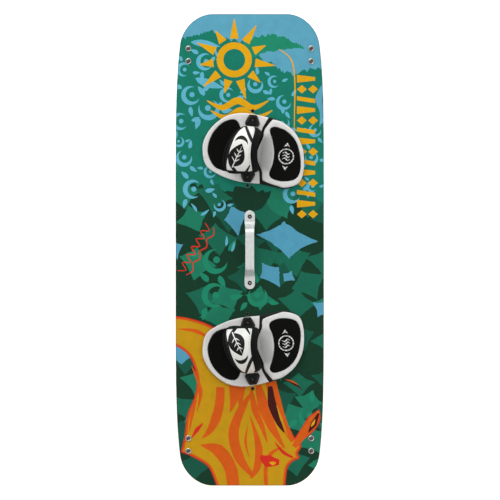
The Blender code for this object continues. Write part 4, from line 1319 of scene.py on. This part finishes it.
def build_pad(side_name, part):
    """A moulded pad with a rounded rim, a crowned top and a pocket for its inlay."""
    world = to_world(SIDES[side_name])
    outline_runs, inlay_runs, low, high, edge = PADS[part]
    outline, inlay = smooth_loop(outline_runs), smooth_loop(inlay_runs)

    def top(p):
        depth = dome(edge_distance(p, outline), 0.75 * edge, edge, PAD_CROWN, PAD_CROWN_REACH)
        into = edge_distance(p, inlay)
        pocket = (INLAY_DEPTH - LIP_DROP) * np.clip((into + LIP) / (LIP - FIT_GAP), 0, 1)
        roll = softened(np.abs(into + LIP), LIP_REACH, LIP_DROP)
        return world(np.column_stack([p, high - depth - np.where(into > -LIP, LIP_DROP + pocket, roll)]))

    loose = fill_points(outline, 0.0045, [edge * s for s in (0.06, 0.16, 0.3, 0.48, 0.7, 1.0, 1.35, 1.9)])
    into = edge_distance(np.array(loose), inlay)
    loose = [p for p, depth in zip(loose, into) if not -2 * LIP_REACH < depth < MM]
    mesh = sheet_solid(
        f"{side_name}_{part}_cushion", outline, top, level(world, low), (), loose, (),
        # the heel pad gets the painted shade of the strap's shadow on its arch
        pad_painted_shade if part == "heel" else PAD_WHITE, flip=side_name == "left", exact=False,
        creases=[grown(inlay, reach) for reach in (FIT_GAP, LIP, LIP + 0.4 * LIP_REACH, LIP + LIP_REACH)],
    )
    mesh.set_sharp_from_angle(angle=math.radians(62))
    add_piece(mesh, "pad", "board", f"{side_name}_{part}_pad")


def build_inlay(side_name, part):
    """A grip inlay, which stands a little proud of its pad. The heel's has the emblem."""
    world = to_world(SIDES[side_name])
    _, runs, _, high, _ = PADS[part]
    outline = smooth_loop(runs)
    shapes = in_metres(emblem()) if part == "heel" else ()

    def top(p):
        depth = dome(edge_distance(p, outline), INLAY_EDGE, INLAY_EDGE, INLAY_CROWN, INLAY_CROWN_REACH)
        return world(np.column_stack([p, high + INLAY_PROUD - depth]))

    loose = fill_points(outline, 0.0055, [INLAY_EDGE * s for s in (0.1, 0.25, 0.5, 0.8, 1.1, 2.5)])
    mesh = sheet_solid(
        f"{side_name}_{part}_tread", outline, top, level(world, high - INLAY_DEPTH + FIT_GAP), shapes,
        loose, (), INK_BLACK, flip=side_name == "left", exact=bool(shapes),
    )
    add_piece(mesh, "grip", "board", f"{side_name}_{part}_inlay")


def rounded(points):
    """Each corner of a hood's ring cut into three points, so that the facets meet in a soft edge."""
    made = []
    for i, here in enumerate(points):
        before, after = points[i - 1], points[(i + 1) % len(points)]
        a, b = (here + (other - here) * min(0.3, CAP_CORNER / np.linalg.norm(other - here))
                for other in (before, after))
        made += [a, (a + b + here * 1.2) / 3.2, b]
    return made


def cap_mesh():
    """The faceted hood over a strap end, with softened edges and a round well for its screw."""
    levels = [(0.0, 1.0), (0.0025, 1.0), (0.0042, 0.985), (CAP_HEIGHT - 0.0012, CAP_TOP_SCALE + 0.03),
              (CAP_HEIGHT - 0.0004, CAP_TOP_SCALE), (CAP_HEIGHT, CAP_TOP_SCALE - 0.05)]
    sections = []
    for height, scale in levels:
        steep = 1 if height < CAP_HEIGHT / 2 else 1 - 0.35 * (1 - scale)
        sections.append(rounded([
            np.array((x * MM * scale, y * MM * (scale if y * MM > CAP_STEEP_Y else steep), height))
            for x, y in CAP_OUTLINE
        ]))
    angles = [math.atan2(p[1], p[0]) for p in sections[-1]]
    for radius, depth in ((CAP_WELL_RADIUS + CAP_WELL_EDGE, 0), (CAP_WELL_RADIUS, CAP_WELL_EDGE),
                          (CAP_WELL_RADIUS, CAP_WELL_DEPTH)):
        sections.append([(radius * math.cos(a), radius * math.sin(a), CAP_HEIGHT - depth) for a in angles])
    return lofted("anchor_hood", sections, math.radians(24))


def build_anchors():
    hood = cap_mesh()
    screw = glint_socket_screw("anchor_button_screw", ANCHOR_HEAD, "black_steel", "dull_steel")
    seat_z = TOE_HIGH + FIT_GAP
    head_z = seat_z + CAP_HEIGHT - CAP_WELL_DEPTH + FIT_GAP
    for side_name, side in SIDES.items():
        for end_name, end in ENDS.items():
            place = anchor_frame(side, end)
            facing = Matrix.Rotation(0 if side * end > 0 else math.pi, 4, "Z")
            add_piece(hood, "nylon", "board", f"{side_name}_anchor_cap_{end_name}",
                      f"{side_name}_hood_{end_name}", place @ Matrix.Translation((0, 0, seat_z)) @ facing)
            add_piece(screw, None, "board", f"{side_name}_anchor_screw_{end_name}",
                      f"{side_name}_hood_screw_{end_name}", place @ Matrix.Translation((0, 0, head_z)))


# ---- Straps ----------------------------------------------------------------------------------


def arch(share, across):
    """Points on the outside of the strap arch, from the outer foot to the inner one."""
    c, s = np.cos(math.pi * share), np.sin(math.pi * share)
    s = np.clip(s, 0, 1)
    flare = np.clip(np.sin(math.pi * share**STRAP_SKEW), 0, 1) ** STRAP_FLARE_POWER
    spread = np.where(c > 0, *HEEL_SPREAD) * np.minimum(1, s / HEEL_SPREAD_START) * (1 - s**4)
    toe_edge = -STRAP_FOOT_HALF_WIDTH - (STRAP_TOE_REACH - STRAP_FOOT_HALF_WIDTH) * flare
    heel_edge = STRAP_FOOT_HALF_WIDTH + (STRAP_HEEL_REACH - STRAP_FOOT_HALF_WIDTH) * s + spread
    power = 2 / STRAP_SQUARENESS
    bulge = BULGE_TOE + (BULGE_HEEL - BULGE_TOE) * across
    shoulder = np.where(c < 0, bulge * np.minimum(1, s / SHOULDER_SHARE) ** SHOULDER_POWER, 0)
    y = (STRAP_HALF_SPAN + shoulder) * np.sign(c) * np.abs(c) ** power
    z = STRAP_FOOT_Z + (STRAP_RISE + STRAP_TILT_ACROSS * (2 * across - 1)) * s**power
    return np.stack([toe_edge + across * (heel_edge - toe_edge), y, z], -1)


def strap_points(share, across, depth):
    """Points of the strap at depths in from the arch's outside, in the right binding's frame."""
    step = 0.0015
    low = np.maximum(step / 9, share - step)
    high = np.minimum(1 - step / 9, share + step)
    along = arch(high, across) - arch(low, across)
    sideways = arch(share, across + step) - arch(share, across - step)
    inward = np.cross(along, sideways)
    inward /= np.linalg.norm(inward, axis=-1)[..., None]
    points = arch(share, across)
    under = np.stack([points[..., 0], 0 * share, 0 * share + 1.8 * STRAP_FOOT_Z], -1)
    away = np.sign(((under - points) * inward).sum(-1))[..., None]
    return points + depth[..., None] * inward * away


def strap_width(share):
    return np.linalg.norm(arch(share, np.ones_like(share)) - arch(share, np.zeros_like(share)), axis=-1)


def edge_taper(share):
    return np.minimum(1, EDGE_TAPER + EDGE_TAPER_RISE * np.sin(math.pi * share))


def layer_edges(share, insets):
    """Where a layer of the strap starts and ends across it, at insets from its toe and heel edges."""
    toe, heel = (inset * edge_taper(share) / strap_width(share) for inset in insets)
    return toe, 1 - heel


def liner_section(share, steps=26):
    """One section of the liner: rolled toe edge, flat under the cover, padded heel roll, flat inside."""
    width = strap_width(share)
    taper = edge_taper(share)
    piping, roll = PIPING * taper, ROLL * taper
    low = BAND_THICKNESS + FIT_GAP + LINER_GAP
    deep = BAND_THICKNESS + FIT_GAP + LINER_THICKNESS
    spots = []
    for i in range(13):
        angle = math.pi * (1 - i / 12)
        spots.append((piping * (1 + math.cos(angle)), PIPING_DEPTH - piping * math.sin(angle)))
    for t in np.linspace(0, 1, 10)[1:-1]:
        spots.append((2 * piping + (width - roll - 2 * piping) * t, low))
    for i in range(15):
        t = i / 14
        swell = math.sin(math.pi * min(1.0, 0.04 + 0.96 * t)) ** 0.55
        depth = low + HEEL_SINK * t - ROLL_SWELL * swell * (0.5 + 0.5 * taper)
        spots.append((width - roll + roll * t, depth))
    for i in range(1, steps):
        t = i / steps
        inner = low + (deep - low) * math.sqrt(1 - (2 * t - 1) ** 8)
        spots.append((width * (1 - t), inner + HEEL_SINK * (1 - t) - TOE_LIFT * t))
    return [(u / width, depth) for u, depth in spots]


def band_section(share):
    """The load-bearing webbing between liner and cover."""
    rows = np.linspace(*layer_edges(share, BAND_INSETS), 12)
    return [(a, BAND_GAP) for a in rows] + [(a, BAND_THICKNESS - BAND_GAP) for a in rows[::-1]]


def strap_loft(name, world, section):
    shares = np.concatenate([np.linspace(0, 0.08, 7)[:-1], np.linspace(0.08, 0.92, 71)[:-1],
                             np.linspace(0.92, 1, 7)])
    sections = []
    for share in shares:
        across, depth = np.array(section(share)).T
        sections.append(world(strap_points(np.full(len(depth), share), across, depth)))
    return lofted(name, sections, math.radians(60))


def on_cover(points):
    """Plan points of the binding's frame, in millimetres, as places on the strap cover."""
    x, y = np.array(points, float).T * MM
    roughly = np.clip((x + STRAP_TOE_REACH) / (STRAP_TOE_REACH + STRAP_HEEL_REACH), 0, 1)
    span = STRAP_HALF_SPAN + np.where(y < 0, BULGE_TOE + (BULGE_HEEL - BULGE_TOE) * roughly, 0)
    share = np.arccos(np.sign(y) * np.clip(np.abs(y) / span, 0, 1) ** (STRAP_SQUARENESS / 2)) / math.pi
    toe, heel = (arch(share, np.full_like(share, across))[:, 0] for across in (0, 1))
    low, high = layer_edges(share, COVER_INSETS)
    return list(zip(share, ((x - toe) / (heel - toe) - low) / (high - low)))


def cover_print():
    """A bold black leaf, an arc, bars and a dark toe edge on white, drawn as they are seen from above."""
    toe_edge = arch(np.array([0.03, 0.10, 0.22, 0.38, 0.54, 0.68, 0.80, 0.90]), np.zeros(8))[:, :2] / MM
    black = [
        leaf(-46, -50, 68, 46, math.radians(68), 0.06, 18),
        crescent(-27, 6, 21, 9, math.radians(15), math.radians(135), 16, 1.15),
        stroke([(-62, -12), (-53, -42), (-38, -60), (-18, -73)], [3, 8, 9, 5], 6),
        stroke([(-18, 60), (-8, 42), (1, 28), (9, 16)], [6, 9, 9, 6], 5),
        stroke([(4, -42), (-3, -56), (-10, -68), (-14, -76)], [3, 7, 7, 5], 5),
        stroke(list(toe_edge), [9, 11, 16, 26, 30, 24, 13, 13], 5),
    ]
    veins = [stroke([(-46, -53), (-38, -30), (-30, -10), (-23, 8)], [3.6, 2.8, 1.9, 0.4], 5)]
    for k, (x, y) in enumerate(((-41, -37), (-36, -24), (-31, -11))):
        veins += [leaf(x, y, 17 - 2 * k, 2.9, math.radians(turn), 0.1, 4) for turn in (28, 116)]
    inner_end = [(0.788, -0.1), (1.0, -0.1), (1.0, 1.1), (0.815, 1.1)]
    return [*inked(INK_BLACK, map(on_cover, black)), *inked(STRAP_WHITE, map(on_cover, veins)),
            (INK_BLACK, inner_end)]


def cover_outline():
    """The cover's plan in share and across, with rounded corners, anticlockwise."""
    corner_x, corner_y = 0.03, 0.16
    first, last = COVER_FIRST + corner_x, COVER_LAST - corner_x
    centres = [(last, 1 - corner_y), (first, 1 - corner_y), (first, corner_y), (last, corner_y)]
    loop = []
    for quarter, (x, y) in enumerate(centres):
        for i in range(7):
            angle = math.pi / 2 * (quarter + i / 6)
            turn_x, turn_y = corner_x * math.cos(angle), corner_y * math.sin(angle)
            loop.append((x + turn_x, y + turn_y))
        next_x, next_y = centres[(quarter + 1) % 4]
        count = 8 if quarter % 2 else 40
        side = np.linspace(loop[-1], (next_x + turn_x, next_y + turn_y), count, endpoint=False)
        loop += [tuple(p) for p in side[1:]]
    return loop


def cover_depth(points):
    """How far the cover's outside is from the arch: thin at its bound edges and puffed between, drawn in
    along the two seams, and creased where the strap bends down to its feet."""
    x, y = points[:, 0], points[:, 1]
    ends = np.minimum(x - COVER_FIRST, COVER_LAST - x) / 0.05
    sides = np.minimum(y, 1 - y) / 0.12
    near = np.clip(np.minimum(ends, sides), 0, 1)
    shoulder = np.sqrt(1 - (1 - np.clip(near * 3, 0, 1)) ** 2)
    seams = sum(np.exp(-(((y - row) / SEAM_GROOVE_WIDTH) ** 2)) for row in SEAM_ROWS)
    bends = sum(np.exp(-(((x - bend) / CREASE_SPREAD) ** 2)) for bend in CREASE_PLACES)
    creases = bends * np.sin(2 * math.pi * (CREASE_COUNT * x + 0.45 * np.sin(4.5 * y + 9 * x)))
    slack = np.sin(2 * math.pi * (2.3 * x + 0.8 * y)) * near
    return (-FIT_GAP - COVER_THICKNESS * (0.42 + 0.58 * shoulder) - COVER_PUFF * near
            + SEAM_GROOVE_DEPTH * seams * np.clip(3 * near, 0, 1)
            - CREASE_HEIGHT * creases * near - SLACK_HEIGHT * slack)


def cover_places(points, depth):
    share = np.clip(points[:, 0], 0.001, 0.999)
    low, high = layer_edges(share, COVER_INSETS)
    return strap_points(share, low + (high - low) * points[:, 1], depth)


def build_strap(side_name):
    side = SIDES[side_name]
    world = to_world(side)
    foot, above = world([(0, 0, STRAP_FOOT_Z - BLEND_BELOW), (0, 0, STRAP_FOOT_Z + BLEND_ABOVE)])
    for name, section, finish, node, slot in (
        ("padded_liner", liner_section, "neoprene", "strap_liner", "neoprene_black"),
        ("webbing", band_section, "webbing", "strap_band", "webbing_black"),
    ):
        mesh = strap_loft(f"{side_name}_{name}", world, section)
        piece = add_piece(mesh, finish, None, f"{side_name}_{node}")
        tuple(foot)
        tuple(above)
        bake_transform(piece)

    columns = np.linspace(COVER_FIRST, COVER_LAST, COVER_COLUMNS)[1:-1]
    ends = [place for step in COVER_END_STEPS for place in (COVER_FIRST + step, COVER_LAST - step)]
    mesh = sheet_solid(
        f"{side_name}_printed_cover", cover_outline(),
        lambda p: world(cover_places(p, cover_depth(p))),
        lambda p: world(cover_places(p, np.full(len(p), -FIT_GAP))),
        cover_print(), [(x, y) for x in (*columns, *ends) for y in COVER_ROWS], (), STRAP_WHITE,
        wall=INK_BLACK, flip=side < 0, plain=(None, LINING),
    )
    cover = add_piece(mesh, "cover", f"{side_name}_cover", f"{side_name}_strap_cover")


def build_stitches(side_name):
    """Two rows of thread along the cover's long edges. Each stitch is a short lens of six-sided rings."""
    points, faces = [], []
    for across in SEAM_ROWS:
        line = np.linspace(COVER_FIRST + 0.03, COVER_LAST - 0.03, 900)
        flat = np.column_stack([line, np.full(len(line), across)])
        depth = cover_depth(flat)
        run = cover_places(flat, depth - 0.4 * STITCH_THICKNESS)
        out = cover_places(flat, depth - 2 * MM) - cover_places(flat, depth)
        travel = np.concatenate([[0], np.cumsum(np.linalg.norm(np.diff(run, axis=0), axis=1))])
        for start in np.arange(0, travel[-1] - STITCH_LENGTH, STITCH_LENGTH + STITCH_GAP):
            spots = np.searchsorted(travel, [start + STITCH_LENGTH * t for t in (0, 0.2, 0.5, 0.8, 1)])
            spots = np.clip(spots, 1, len(run) - 2)
            along = run[spots[-1]] - run[spots[0]]
            along /= np.linalg.norm(along)
            up = out[spots[2]] / np.linalg.norm(out[spots[2]])
            over = np.cross(along, up)
            first = len(points)
            for spot, size in zip(spots, (0.25, 0.9, 1.0, 0.9, 0.25)):
                middle = run[spot] - up * STITCH_THICKNESS * (1 - size) * 1.4
                for x, y in circle(0, 0, STITCH_THICKNESS * size, 6):
                    points.append(middle + 1.5 * x * over + y * up)
            for row in range(first, first + 24, 6):
                faces += [(row + k, row + (k + 1) % 6, row + 6 + (k + 1) % 6, row + 6 + k) for k in range(6)]
            faces.append(tuple(first + k for k in reversed(range(6))))
            faces.append(tuple(first + 24 + k for k in range(6)))
    world = to_world(SIDES[side_name])
    mesh = outward(smooth_mesh(f"{side_name}_cover_stitches", world(points), faces, None))
    add_piece(mesh, "thread", f"{side_name}_cover", None)


# ---- Studio ----------------------------------------------------------------------------------


def studio_sky():
    """White surroundings that are dimmer overhead, and brighter past the right tip than the left one."""
    world = bpy.data.worlds.new("studio")
    world.use_nodes = True
    tree = world.node_tree
    place = tree.nodes.new("ShaderNodeTexCoord")
    split = tree.nodes.new("ShaderNodeSeparateXYZ")
    tree.links.new(place.outputs["Generated"], split.inputs[0])
    strengths = []
    for axis, low, high, at_low, at_high in (("Z", 0.2, 1.0, 1.0, 0.42), ("Y", -1.0, 1.0, 0.75, 1.12)):
        ramp = tree.nodes.new("ShaderNodeMapRange")
        for socket, value in (("From Min", low), ("From Max", high), ("To Min", at_low), ("To Max", at_high)):
            ramp.inputs[socket].default_value = value
        tree.links.new(split.outputs[axis], ramp.inputs["Value"])
        strengths.append(ramp.outputs["Result"])
    product = tree.nodes.new("ShaderNodeMath")
    product.operation = "MULTIPLY"
    for socket, strength in zip(product.inputs, strengths):
        tree.links.new(strength, socket)
    tree.links.new(product.outputs[0], tree.nodes["Background"].inputs["Strength"])
    tree.nodes["Background"].inputs["Color"].default_value = (1, 1, 1, 1)
    return world


def build_floor():
    reach = 15
    corners = [(-reach, -reach, 0), (reach, -reach, 0), (reach, reach, 0), (-reach, reach, 0)]
    mesh = smooth_mesh("floor", corners, [(0, 1, 2, 3)], None)
    floor = bpy.data.objects.new("floor", mesh)
    bpy.context.scene.collection.objects.link(floor)
    white = Finish("studio_floor", roughness=0.9, emission_color=(1, 1, 1, 1), emission_strength=0.55)
    mesh.materials.append(white.set(base_color=white.toned(white.noise(2, 2), FLOOR_TONES)))


def build_studio():
    """A white floor, soft light that is stronger from the right tip's side, and a camera from above."""
    build_floor()
    bpy.context.scene.world = studio_sky()
    for name, place, size, power in (
        ("key", (-0.9, 1.9, 2.0), 1.6, 32.0), ("fill", (1.6, -1.4, 2.2), 2.2, 17.0),
        ("tip", (0.2, 2.8, 0.8), 1.4, 22.0),
    ):
        light = bpy.data.lights.new(name, "AREA")
        light.size = size
        light.energy = power
        lamp = bpy.data.objects.new(name, light)
        lamp.location = place
        lamp.rotation_mode = "QUATERNION"
        lamp.rotation_quaternion = (-Vector(place)).to_track_quat("-Z", "Y")
        bpy.context.scene.collection.objects.link(lamp)

    camera = bpy.data.objects.new("camera", bpy.data.cameras.new("camera"))
    camera.data.type = "ORTHO"
    camera.data.ortho_scale = 2 * HALF_LENGTH / BOARD_SHARE
    camera.location = (0.0007, -0.0006, 3.0)
    bpy.context.scene.collection.objects.link(camera)
    bpy.context.scene.camera = camera
    bpy.context.scene.view_settings.view_transform = "Standard"


# ---- Assembly --------------------------------------------------------------------------------

build_studio()
build_deck()
build_base()
build_rail()
dress_inner_parts()
build_fin_fasteners()
build_fins()
build_handle()
build_anchors()
for side_name in SIDES:
    build_plate(side_name)
    for part in PADS:
        build_pad(side_name, part)
    for part in PADS:
        build_inlay(side_name, part)
    build_strap(side_name)
    build_stitches(side_name)
